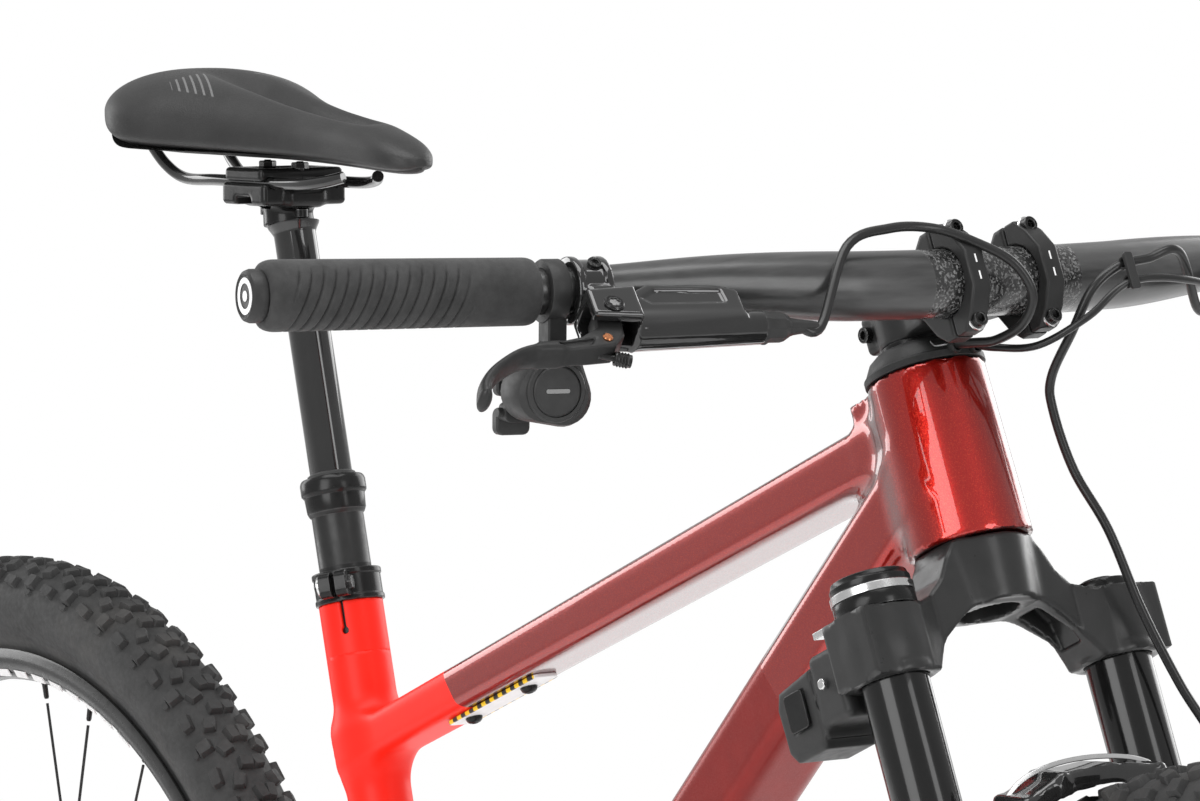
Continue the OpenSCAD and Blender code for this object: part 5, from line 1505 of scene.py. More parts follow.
def build_lowers():
    shape = skin(lowers_field, (-28, -100, -540), (68, 100, -118), 2.1)
    piece("fork_lower_legs", shape.at(STEER), LOWERS_GLOSS, "fork_lowers", sharp=50)
    seal = lathe([(STANCHION_R + 0.15, -192), (22.4, -192), (22.8, -190), (22.4, -187), (20.6, -184.6),
                  (18.4, -183.8), (STANCHION_R + 0.1, -183.8)], 72)
    for side, name in ((-1, "right"), (1, "left")):
        piece("wiper_seal_" + name, seal.at(leg_place(side)), RUBBER, "fork_lowers")
    accent = sweep(curve([(x - 2, y, z + 8.3) for x, y, z in arch_path()[1:-1]], 6),
                   rounded_rectangle(2.6, 1.3, 0.5))
    piece("arch_edge", accent.at(STEER), SILVER, "fork_lowers")


def turned_across(place, profile, steps=48, loop=False):
    """A lathe about the bike's cross axis. Heights are the bike's own y."""
    return lathe([(r, y) for r, y in profile], steps, loop).at(across(place[0], place[2]))


def build_axles_and_calipers():
    axle = turned_across(front_axle, ((0, -80.5), (6.8, -80.5), (7.5, -79.8), (7.5, 79.6), (10.6, 79.7),
                                      (11.0, 80.4), (11.0, 83.6), (10.2, 84.6), (4.4, 84.6), (4.0, 81.5),
                                      (0, 81.5)))
    piece("front_axle_shaft", axle, ANODISED, "front_axle", sharp=30)
    caliper = skin(front_caliper_field, (-60, 30, -496), (-14, 64, -436), 1.3)
    piece("front_caliper_body", caliper.at(STEER), GLOSS, "front_caliper", sharp=50)
    pads = total(box(-50, -24, y, y + 1.6, -488, -458) for y in (42.3, 45.9))
    piece("front_pads", pads.at(STEER), DARK_STEEL, "front_caliper", bevel=0.4)
    rear = skin(rear_caliper_field, (54, 40, 10), (104, 64, 42), 1.2)
    place = shifted(*rear_axle)
    piece("rear_caliper_body", rear.at(place), GLOSS, "rear_caliper", sharp=50)
    axle = turned_across(rear_axle, ((0, -97), (5.4, -97), (6.0, -96.2), (6.0, 84.3), (9.6, 84.4),
                                     (10.0, 85.2), (10.0, 89.2), (9.2, 90.0), (3.6, 90.0), (3.2, 87),
                                     (0, 87)))
    piece("rear_axle_shaft", axle, ANODISED, "rear_axle", sharp=30)
    pins = turned_across(main_pivot, ((0, -48), (11.0, -48), (12.0, -47.2), (12.0, -45.2), (8.0, -45.1),
                                      (8.0, 45.1), (12.0, 45.2), (12.0, 47.2), (11.0, 48), (4.4, 48),
                                      (4.0, 46), (0, 46)))
    pins = pins + turned_across(shock_front, ((0, -19.8), (6.4, -19.8), (7.0, -19.2), (7.0, -17.2),
                                              (4.0, -17.1), (4.0, 17.1), (7.0, 17.2), (7.0, 19.2),
                                              (6.4, 19.8), (0, 19.8)))
    piece("pivot_pins", pins, DARK_STEEL, "frame_pivot_axles", sharp=30)
    cups = []
    for z0, z1, inner in ((0.4, 7.9, 20.1), (HEAD_LENGTH - 7.9, HEAD_LENGTH - 0.3, 14.4)):
        cups.append(lathe([(inner, z0), (25.9, z0), (25.9, z1), (inner, z1)], 64, loop=True).at(STEER))
    for side in (1, -1):
        cup = [(14.6, 20), (16.9, 20), (16.9, 36.6), (21.0, 36.7), (21.5, 37.4), (21.5, 44.6),
               (20.8, 45.5), (14.6, 45.6)]
        shape = turned_across(bottom_bracket, cup, 48, True)
        cups.append(shape if side > 0 else shape.at(MIRROR))
    piece("bearing_cups", total(cups), DARK_STEEL, "frame_bearings", bevel=0.3)


def front_caliper_field(q):
    body = block_field(q, (-38, 47, -466), (17.5, 12.5, 26), 5.0)
    tail = block_field(q, (-27, 50, -448), (9, 9, 9), 4.0)
    value = smooth_union(4.0, body, tail)
    piston = rod_field(q, (-40, 30, -468), (-40, 62, -468), 11.5, edge=2)
    value = smooth_union(2.0, value, piston)
    disc = block_field(q, (-20, 44.9, -480), (33, 2.6, 34), 0.5)
    value = smooth_cut(0.6, value, disc)
    window = block_field(q, (-44, 44.9, -450), (8, 7, 40), 2.0)
    return smooth_cut(1.0, value, smooth_common(1.0, window, -465 - q[..., 2] + 12))


def rear_caliper_field(q):
    body = block_field(q, (79, 52, 26), (20.5, 8.0, 11.6), 4.0)
    piston = rod_field(q, (74, 43.6, 26), (74, 60.6, 26), 10.5, edge=1.5)
    value = smooth_union(2.0, body, piston)
    return smooth_cut(0.6, value, block_field(q, (60, 54.9, 20), (25, 2.5, 20), 0.5))


def build_fork():
    build_crown()
    build_stanchions()
    build_caps_and_module()
    build_lowers()
    build_axles_and_calipers()


# ---------------------------------------------------------------- wheels, about the bike's cross axis

KNOB_PITCHES = 100
KNOB_HEIGHT = 4.6


def tyre_shape():
    """The casing: a ring of the tyre's section, with a bead at each side."""
    casing = TYRE_SECTION - KNOB_HEIGHT + 0.6
    centre = TYRE_R - TYRE_SECTION
    profile = []
    for a in np.linspace(math.radians(-128), math.radians(128), 41):
        profile.append((centre + casing * math.cos(a), casing * math.sin(a)))
    bead = [(RIM_R - 2.0, 13.6), (RIM_R - 5.4, 13.8), (RIM_R - 6.0, 10.5), (RIM_R + 1.0, 10.5)]
    inner = [(centre + (casing - 2.2) * math.cos(a),
              (casing - 2.2) * math.sin(a)) for a in np.linspace(math.radians(118), math.radians(-118),
            21)]
    return profile + bead + inner + [(r, -y) for r, y in bead[::-1]]


def knob(around, angle, lean, long, wide, height, taper=1.6):
    """One tread block: a chamfered frustum on the tyre's section."""
    centre = TYRE_R - TYRE_SECTION
    casing = TYRE_SECTION - KNOB_HEIGHT
    rings = []
    for grow, h in ((taper, -0.6), (0.2, height - 0.9), (-0.5, height)):
        outline = rounded_rectangle(long + grow, wide + grow, 0.9, 2)
        rings.append(level(outline, h))
    shape = loft(rings)
    turn = math.radians(lean)
    spin = local_frame((0, 0, 0), (math.cos(turn), math.sin(turn), 0),
                       (-math.sin(turn), math.cos(turn), 0), (0, 0, 1))
    a = math.radians(angle)
    outward = np.array([math.cos(a), 0, math.sin(a)])
    # x runs round the wheel, y across the tread, z outward, for a wheel about its own Z
    place = local_frame((centre + casing * math.cos(a), 0, casing * math.sin(a)), (0, 1, 0),
                        (-math.sin(a), 0, math.cos(a)), outward)
    return shape.at(place @ spin).at(turned(2, around))


def tread():
    """Paired centre blocks, split transition blocks and square side blocks, in two alternating rows."""
    step = 360 / KNOB_PITCHES
    h = KNOB_HEIGHT
    rows = []
    for k in range(KNOB_PITCHES):
        a = k * step
        odd = k % 2
        if odd:
            row = ((0.0, 8, 10, 6.2, 7.2), (0.0, -8, -10, 6.2, 7.2), (0.5, 27, 24, 7.5, 6.0),
                   (0.5, -27, -24, 7.5, 6.0), (0.1, 52, 6, 9.5, 5.5), (0.1, -52, -6, 9.5, 5.5))
        else:
            row = ((0.0, 6.5, -8, 8.2, 5.4), (0.0, -6.5, 8, 8.2, 5.4), (0.4, 24, -18, 6.4, 7.0),
                   (0.4, -24, 18, 6.4, 7.0), (0.1, 47, 0, 6.8, 7.5), (0.1, -47, 0, 6.8, 7.5),
                   (0.1, 62, 0, 5.0, 3.4), (0.1, -62, 0, 5.0, 3.4))
        for offset, angle, lean, long, wide in row:
            height = h if abs(angle) < 60 else 2.0
            rows.append(knob(a + offset * step, angle, lean, 1.22 * long, 1.15 * wide, height))
    return total(rows)


def rim_shape():
    outer = [(RIM_INNER, 5.5), (RIM_INNER + 2, 9.5), (RIM_R - 16, 16.6), (RIM_R - 11, RIM_HALF),
             (RIM_R - 4.6, RIM_HALF), (RIM_R - 3.4, 16.6), (RIM_R - 3.4, 15.2), (RIM_R - 4.4, 14.4),
             (RIM_R - 9, 14.4), (RIM_R - 14, 6)]
    return lathe([(r, -y) for r, y in outer] + outer[::-1], 144, loop=True)


def rim_marks():
    """Plain bars round the rim, in place of lettering."""
    marks = []
    for side in (1, -1):
        for k in range(3):
            for j in range(9):
                a = math.radians(120 * k + 20 + 4.2 * j)
                b = a + math.radians(2.6)
                y0, y1 = side * 13.05, side * 16.15
                r0, r1 = RIM_R - 21.5, RIM_R - 16.6
                corners = [(r0, a, y0 * 0.93), (r1, a + 0.006, y1 * 0.985), (r1, b + 0.006, y1 * 0.985),
                           (r0, b, y0 * 0.93)]
                points = [(r * math.cos(t), r * math.sin(t), y) for r, t, y in corners]
                lift = [(x, y, z + side * 0.9) for x, y, z in points]
                shape = Shape(points + lift, [(0, 3, 2, 1), (4, 5, 6, 7), (0, 1, 5, 4), (1, 2, 6, 5),
                                              (2, 3, 7, 6), (3, 0, 4, 7)])
                marks.append(shape if side > 0 else Shape(shape.points, [f[::-1] for f in shape.faces]))
    return total(marks)


def valve():
    stem = lathe([(0, 0), (3.0, 0), (3.0, 2), (2.9, 3), (2.9, 30), (2.3, 31), (2.3, 36), (2.7, 36.5),
                  (2.7, 42), (1.6, 43), (0, 43)], 20)
    nut = lathe([(2.9, 2), (5.6, 2), (5.6, 5), (4.8, 5.8), (2.9, 5.8)], 6, loop=True)
    return (stem + nut).at(local_frame((RIM_INNER + 1, 0, 0), (0, 1, 0), (0, 0, 1), (-1, 0, 0)))


def spoke_shapes(right_flange, left_flange):
    wires, nipples = [], []
    for i in range(SPOKES):
        angle = i * 360 / SPOKES
        lean = 76 if (i // 2) % 2 == 0 else -76
        flange = -right_flange if i % 2 == 0 else left_flange
        hub_angle, a = math.radians(angle + lean), math.radians(angle)
        out = 1 if (i // 2) % 2 == 0 else -1
        # The wheel's frame is (x, -z, y) of the bike, so angles run the other way
        foot = np.array([27.5 * math.cos(hub_angle), -27.5 * math.sin(hub_angle), flange + out * 2.2])
        head = np.array([(RIM_INNER - 0.4) * math.cos(a), -(RIM_INNER - 0.4) * math.sin(a),
                         np.sign(flange) * 2.0])
        d = unit(head - foot)
        start = foot + d
        elbow = foot - np.array([0, 0, out * 3.4])
        path = [elbow, foot, start + 3 * d] + [foot + (head - foot) * t for t in (0.1, 0.5, 0.9, 0.95)]
        wires.append(sweep(path, circle(0.95, 8)))
        nipples.append(lathe([(0, 0), (1.2, 0), (1.7, 1.2), (1.85, 9), (2.4, 11), (0, 11.5)],
                             10).at(aimed(head - d * 11.5, d, (0, 0, 1))))
    return total(wires), total(nipples)


def disc_shape(radius):
    """A wave-edged disc: an outer track with slots, on six swept arms round a carrier."""
    steps = 360
    turn = np.arange(steps) * 2 * math.pi / steps
    wave = radius - 1.6 + 1.2 * np.cos(turn * 24)
    inner = radius * 0.80 + 0.8 * np.cos(turn * 24)
    track = frame_prism(np.stack([wave * np.cos(turn), wave * np.sin(turn)], 1),
                        np.stack([inner * np.cos(turn), inner * np.sin(turn)], 1), 0, 1.8)
    slots = []
    for k in range(24):
        a = math.radians(15 * k)
        mark = prism(rounded_rectangle(9, 2.6, 1.2), -0.12, 1.92).tint(1)
        slots.append(mark.at(local_frame((radius * 0.895 * math.cos(a), radius * 0.895 * math.sin(a), 0),
                                         (math.cos(a + 0.9), math.sin(a + 0.9), 0),
                                         (-math.sin(a + 0.9), math.cos(a + 0.9), 0), (0, 0, 1))))
    arms = []
    for k in range(6):
        a = math.radians(60 * k)
        start = np.array([25 * math.cos(a), 25 * math.sin(a), 0.9])
        end = np.array([radius * 0.81 * math.cos(a + 0.55), radius * 0.81 * math.sin(a + 0.55), 0.9])
        bend = (start + end) / 2 + 3 * np.array([math.sin(a), -math.cos(a), 0])
        arms.append(sweep(curve([start, bend, end], 5), rounded_rectangle(7, 1.7, 0.4), (0, 0, 1)))
    carrier = frame_prism(circle(29, 96), circle(13.3, 96), 0.1, 3.2)
    screws = [socket_bolt(2.8, 1.6, 0.5).tint(1).shift(22 * math.cos(math.radians(60 * k)),
                                                       22 * math.sin(math.radians(60 * k)),
                                                       3.0) for k in range(6)]
    return total([track] + slots + arms + [carrier.tint(1)] + screws)


def hub_shape(right_flange, left_flange, right_end, left_end, bore):
    profile = [(bore, -right_end), (12.6, -right_end), (13.0, -right_end + 0.8),
               (13.0, -right_flange - 6), (17, -right_flange - 2.4), (28.4, -right_flange - 1.6),
               (29.6, -right_flange - 0.8), (29.6, -right_flange + 0.8), (28.4, -right_flange + 1.6),
               (20, -right_flange + 3.5), (16.2, -right_flange + 10), (15.6, 0), (16.2, left_flange - 10),
               (20, left_flange - 3.5), (28.4, left_flange - 1.6), (29.6, left_flange - 0.8),
               (29.6, left_flange + 0.8), (28.4, left_flange + 1.6), (17, left_flange + 2.4),
               (13.0, left_flange + 6), (13.0, left_end - 0.8), (12.6, left_end), (bore, left_end)]
    return lathe(profile, 64, loop=True)


def build_wheel(name, centre, right_flange, left_flange, hub, disc_y, disc_r):
    place = across(centre[0], centre[2])
    casing = lathe(tyre_shape(), 180, loop=True)
    piece(name + "_casing", casing.at(place), TYRE, name + "_tyre", sharp=60)
    piece(name + "_tread", tread().at(place), TYRE, name + "_tyre", sharp=35)
    piece(name + "_rim_hoop", rim_shape().at(place), RIM, name + "_rim", sharp=50)
    piece(name + "_rim_marks", rim_marks().at(place), WHITE, name + "_rim")
    piece(name + "_valve", valve().at(turned(2, 38)).at(place), COPPER, name + "_rim", sharp=30)
    wires, nipples = spoke_shapes(right_flange, left_flange)
    piece(name + "_spoke_wires", wires.at(place), SPOKE, name + "_spokes", sharp=60)
    piece(name + "_nipples", nipples.at(place), ANODISED, name + "_spokes", sharp=30)
    piece(name + "_hub_shell", hub_shape(right_flange, left_flange, *hub).at(place), ANODISED,
          name + "_hub", sharp=35)
    disc = disc_shape(disc_r).shift(0, 0, disc_y)
    piece(name + "_brake_disc", disc.at(place), [STEEL, ANODISED], name + "_rotor", sharp=30)


def build_wheels():
    build_wheel("front", front_axle, 32, 24, (54.8, 54.8, 7.6), 44, 90)
    build_wheel("rear", rear_axle, 19, 30, (34, 73.8, 6.2), 54, 80)


# ---------------------------------------------------------------- rear end, drive and shock

yoke_pivot = main_pivot + (-10, 0, 200)
DROPOUT_Y = 76.0


def swingarm_field(p):
    x, y, z = p[..., 0], abs(p[..., 1]), p[..., 2]
    q = np.stack([x, y, z], -1)
    boss = rod_field(q, main_pivot + (0, 20.8, 0), main_pivot + (0, 44.6, 0), 15.4)
    chain_stay = rod_field(q, main_pivot + (-4, 33, 1), rear_axle + (6, DROPOUT_Y, -4), 8.6, 7.6,
                           flat=False)
    seat_stay = rod_field(q, rear_axle + (2, DROPOUT_Y - 0.5, 6), yoke_pivot + (-1, 37, 1), 7.2,
                          flat=False)
    upright = rod_field(q, main_pivot + (0, 36, 0), yoke_pivot + (0, 37, 0), 8.6, 7.4, flat=False)
    eye = rod_field(q, yoke_pivot + (0, 29.2, 0), yoke_pivot + (0, 45.8, 0), 11.0)
    dropout = rod_field(q, rear_axle + (0, 74.4, 0), rear_axle + (0, 83.8, 0), 16.5)
    bridge = rod_field(q, main_pivot + (-76, -1, -3), main_pivot + (-76, 37, -3), 8.0)
    pin = rod_field(q, yoke_pivot + (0, -1, 0), yoke_pivot + (0, 40, 0), 5.0)
    value = smooth_union(9.0, chain_stay, seat_stay, upright)
    value = smooth_union(6.0, value, boss, eye, bridge)
    value = smooth_union(6.0, value, dropout)
    value = smooth_union(1.0, value, pin)
    value = smooth_cut(0.5, value, np.hypot(x - main_pivot[0], z - main_pivot[2]) - 8.15)
    value = smooth_cut(0.5, value, np.hypot(x - rear_axle[0], z - rear_axle[2]) - 6.15)
    near = np.maximum(np.hypot(x - rear_axle[0], z - rear_axle[2]) - 40, y - 74.0)
    return smooth_cut(1.0, value, near)


def build_swingarm():
    low = (rear_axle[0] - 22, -92, main_pivot[2] - 30)
    high = (main_pivot[0] + 20, 92, yoke_pivot[2] + 16)
    shape = skin(swingarm_field, low, high, 2.6)
    piece("swingarm_shell", shape, REAR_PAINT, "swingarm", sharp=60)


def toothed(teeth, root_depth=3.4, tip_height=2.4):
    r = pitch_radius(teeth)
    points = []
    for i in range(teeth):
        for offset, radius in ((-0.5, r - root_depth), (-0.34, r - root_depth + 0.5),
                               (-0.16, r + tip_height - 0.9), (-0.09, r + tip_height),
                               (0.09, r + tip_height), (0.16, r + tip_height - 0.9),
                               (0.34, r - root_depth + 0.5)):
            a = (i + offset) * 2 * math.pi / teeth
            points.append((radius * math.cos(a), radius * math.sin(a)))
    return np.array(points)


def build_cassette():
    place = across(rear_axle[0], rear_axle[2])
    plates, arms = [], []
    first = CHAIN_PLANE + 6 * SPROCKET_STEP
    for i, teeth in enumerate(SPROCKETS):
        y = first - i * SPROCKET_STEP
        outline = toothed(teeth)
        r = pitch_radius(teeth)
        inner = circle(max(16.0, r - 11), len(outline))
        inner = inner @ np.array([[math.cos(math.pi / teeth), math.sin(math.pi / teeth)],
                                  [-math.sin(math.pi / teeth), math.cos(math.pi / teeth)]])
        plates.append(frame_prism(outline, inner, y - 0.8, y + 0.8).tint(i % 2 if i < 2 else 0))
        if r > 34:
            for k in range(6):
                a = math.radians(60 * k + 11 * i)
                start = np.array([15.5 * math.cos(a), 15.5 * math.sin(a), y])
                end = np.array([(r - 9) * math.cos(a + 0.35), (r - 9) * math.sin(a + 0.35), y])
                arms.append(sweep(np.array([start, (start + end) / 2, end]),
                                  rounded_rectangle(6.5, 1.4, 0.3), (0, 0, 1)))
    body = lathe([(6.2, -72), (15.2, -72), (15.8, -71), (15.8, -66), (15.5, -65), (15.5, -34.4),
                  (6.2, -34.4)], 48, loop=True).tint(1)
    lock = lathe([(6.3, -72.6), (14, -72.6), (17.4, -71), (17.4, -69), (6.3, -69)], 60, loop=True).tint(1)
    shape = total(plates + arms + [body, lock]).at(place)
    piece("cassette_cogs", shape, [CHAIN_STEEL, ANODISED], "cassette", sharp=25)


def crank_shape(way, side):
    """A forged arm that tapers from the spindle to the pedal eye."""
    length = 170.0
    low = 51.4 if side > 0 else 60.0
    sections = []
    for t in np.linspace(0, 1, 21):
        x = way * length * t
        y = side * ((low + 8.5) * (1 - t) + 69 * t)
        half = 14.5 - 3.0 * math.sin(math.pi * min(t * 1.15, 1)) - 0.8 * t
        thick = 6.6 - 0.6 * t
        outline = rounded_rectangle(2 * half, 2 * thick, 4.0)
        sections.append(np.column_stack([np.full(len(outline), x), y + outline[:, 1], outline[:, 0]]))
    return loft(sections if way * side < 0 else [s[::-1] for s in sections])


def build_cranks():
    place = shifted(*bottom_bracket)
    shapes = []
    for way, side in ((1, -1), (-1, 1)):
        arm = crank_shape(way, side)
        low = 51.4 if side > 0 else 58.2
        boss = [(0, low), (18.2, low), (19, low + 0.8), (19, low + 15), (17.8, low + 16.4),
                (9.5, low + 16.8), (8.8, low + 13.5), (0, low + 13.5)]
        eye = [(7.2, 62.4), (12.4, 62.4), (13.4, 63.4), (13.4, 74.8), (12.4, 75.6), (7.2, 75.6)]
        boss = lathe(boss, 48).at(across(0, 0))
        eye = lathe(eye, 40, loop=True).at(across(way * 170, 0))
        if side < 0:
            boss, eye = boss.at(MIRROR), eye.at(MIRROR)
        shapes += [arm, boss, eye]
    spindle = lathe([(0, -58), (14.4, -58), (14.4, 50), (0, 50)], 40).at(across(0, 0))
    piece("crank_pair", total(shapes).at(place), CARBON, "crank_arms", sharp=45)
    piece("crank_spindle", spindle.at(place), DARK_STEEL, "crank_arms")
    outline = toothed(CHAINRING_TEETH)
    inner = circle(pitch_radius(CHAINRING_TEETH) - 13, len(outline))
    ring = frame_prism(outline, inner, CHAIN_PLANE - 0.75, CHAIN_PLANE + 0.75)
    arms = []
    for k in range(8):
        a = math.radians(45 * k)
        start = np.array([20 * math.cos(a), 20 * math.sin(a), CHAIN_PLANE - 2.2])
        end = np.array([54 * math.cos(a), 54 * math.sin(a), CHAIN_PLANE - 0.3])
        arms.append(sweep(np.array([start, (start + end) / 2, end]), rounded_rectangle(9, 2.2, 0.6),
                          (0, 0, 1)))
    hub = lathe([(14.7, CHAIN_PLANE - 5.8), (25, CHAIN_PLANE - 5.8), (26, CHAIN_PLANE - 5),
                 (26, CHAIN_PLANE - 1.4), (25, CHAIN_PLANE - 0.8), (14.7, CHAIN_PLANE - 0.8)], 48,
                loop=True)
    shape = total([ring, hub] + arms).at(across(bottom_bracket[0], bottom_bracket[2]))
    piece("chainring_plate", shape, ANODISED, "chainring", sharp=25)


def pedal_shape():
    """A flat platform: a framed body with cross bars, pins on both faces, and its axle."""
    outer = rounded_rectangle(104, 94, 15, 6)
    frame_ring = [level(o, z) for o, z in ((outer * 0.985, -7.6), (outer, -6.6), (outer, 6.6),
                                           (outer * 0.985, 7.6), (rounded_rectangle(84, 76, 9, 6), 7.2),
                                           (rounded_rectangle(84, 76, 9, 6), -7.2))]
    body = loft(frame_ring, loop=True)
    bars = box(-8.5, 8.5, -44, 44, -7.4, 7.4) + box(-44, 44, -5.5, 5.5, -4.6, 4.6)
    pins = []
    for sx in (-46.5, 46.5):
        for y in (-34, -17, 0, 17, 34):
            for way in (1, -1):
                pin = lathe([(0, 7.0), (1.9, 7.0), (1.9, 8.3), (1.4, 8.4), (1.4, 10.6), (0, 10.9)],
                            10).shift(sx, y, 0)
                pins.append(pin if way > 0 else pin.at(np.diag([1.0, 1.0, -1.0, 1.0])))
    place = local_frame((0, -135, 0), (1, 0, 0), (0, 1, 0), (0, 0, 1))
    axle = lathe([(0, -150), (6.4, -150), (6.9, -100), (6.9, -88), (9.6, -87), (9.6, -79), (8.0, -78),
                  (6.9, -76.4), (6.9, -62.6), (6.2, -62.2), (0, -62.2)], 32).at(across(0, 0)).tint(1)
    return (body + bars).at(place) + total(pins).at(place).tint(1) + axle


def build_pedals():
    shape = pedal_shape()
    piece("right_pedal_platform", shape.shift(*right_pedal_at), [BLASTED, DARK_STEEL], "right_pedal",
          bevel=0.6)
    piece("left_pedal_platform", shape.at(MIRROR).shift(*left_pedal_at), [BLASTED, DARK_STEEL],
          "left_pedal", bevel=0.6)


def chain_path():
    """The chain's closed line in the bike's x and z: arcs round the wheels joined by tangents."""
    wheels = ((bottom_bracket, pitch_radius(CHAINRING_TEETH)), (tension_at, pitch_radius(PULLEY_TEETH)),
              (guide_at, -pitch_radius(PULLEY_TEETH)), (rear_axle, pitch_radius(DRIVEN_TEETH)))
    wheels = [(np.array([p[0], p[2]]), r) for p, r in wheels]

    def normal(i, j):
        d = wheels[j][0] - wheels[i][0]
        return math.atan2(d[1], d[0]) + math.acos((wheels[i][1] - wheels[j][1]) / np.linalg.norm(d))

    path = []
    for k, (centre, radius) in enumerate(wheels):
        a0, a1 = normal(k - 1, k), normal(k, (k + 1) % 4)
        turn = -((a0 - a1) % (2 * math.pi)) if radius > 0 else (a1 - a0) % (2 * math.pi)
        for s in np.linspace(0, 1, 40):
            path.append(centre + radius * np.array([math.cos(a0 + turn * s), math.sin(a0 + turn * s)]))
    path = np.array(path + [path[0]])
    steps = np.linalg.norm(np.diff(path, axis=0), axis=1)
    keep = np.concatenate([[True], steps > 1e-6])
    path = path[keep]
    run = np.concatenate([[0], np.cumsum(np.linalg.norm(np.diff(path, axis=0), axis=1))])
    links = 2 * round(run[-1] / CHAIN_PITCH / 2)
    spots = np.arange(links) * run[-1] / links
    return np.stack([np.interp(spots, run, path[:, 0]), np.interp(spots, run, path[:, 1])], 1)


def build_chain():
    pins = chain_path()
    count = len(pins)
    shapes = []
    for i in range(count):
        a, b = pins[i], pins[(i + 1) % count]
        d = b - a
        half, turn = np.linalg.norm(d) / 2, math.atan2(d[1], d[0])
        outline = []
        for end in (1, -1):
            for t in np.linspace(-1.15, 1.15, 7):
                angle = t + (0 if end > 0 else math.pi)
                outline.append((end * half + 3.9 * math.cos(angle), 3.9 * math.sin(angle)))
        outline = outline[:7] + [(0, 2.9)] + outline[7:] + [(0, -2.9)]
        offset, thick = (1.6, 0.75) if i % 2 else (0.85, 0.7)
        c, s = math.cos(turn), math.sin(turn)
        middle = (a + b) / 2
        place = local_frame((middle[0], 0, middle[1]), (c, 0, s), (-s, 0, c), (0, -1, 0))
        for side in (1, -1):
            y = side * (offset + thick / 2)
            shapes.append(prism(outline, y - thick / 2, y + thick / 2).at(place).shift(0, CHAIN_PLANE, 0))
        pin = prism(circle(1.8, 10), -2.5, 2.5).at(facing_right((a[0], CHAIN_PLANE, a[1])))
        shapes.append(pin)
    obj = piece("chain_links", total(shapes), CHAIN_STEEL, "chain", ride=False, sharp=30)
    start, end = bottom_bracket, bottom_bracket + (-120, 0, 0)
    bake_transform(obj)


base_low = guide_at + (-12, 0, 16)


def derailleur_base_field(p):
    x, y, z = p[..., 0], p[..., 1], p[..., 2]
    mount = rod_field(p, rear_axle * (1, 0, 1) + (0, -94.8, 0), rear_axle * (1, 0, 1) + (0, -84.4, 0),
                      15.5)
    foot = base_low + (0, 0, 20)
    arm = rod_field(p, rear_axle * (1, 0, 1) + (0, -93, -6), foot * (1, 0, 1) + (0, -93, 0), 9.5, 7.5,
                    flat=False)
    pod = rod_field(p, foot * (1, 0, 1) + (0, -101, 0), foot * (1, 0, 1) + (0, -84.4, 0), 10.5)
    battery = block_field(p, (foot[0] - 12, -95, foot[2] + 22), (10, 7.5, 17), 4.0)
    value = smooth_union(6.0, mount, arm, pod)
    value = smooth_union(4.0, value, battery)
    value = np.maximum(value, y + 84.3)
    return smooth_cut(0.5, value, np.hypot(x - rear_axle[0], z - rear_axle[2]) - 6.2)


def knuckle_field(p):
    foot = base_low + (0, 0, 20)
    upper = rod_field(p, foot * (1, 0, 1) + (0, -81, 0), foot * (1, 0, 1) + (0, -68, 0), 9.8)
    arm = rod_field(p, foot * (1, 0, 1) + (0, -74, 0), guide_at * (1, 0, 1) + (0, -71, 0), 8.4,
                    flat=False)
    drum = rod_field(p, guide_at * (1, 0, 1) + (0, -79, 0), guide_at * (1, 0, 1) + (0, -64, 0), 13.0)
    value = smooth_union(5.0, upper, arm, drum)
    return smooth_cut(0.5, value, np.hypot(p[..., 0] - guide_at[0], p[..., 2] - guide_at[2]) - 5.2)


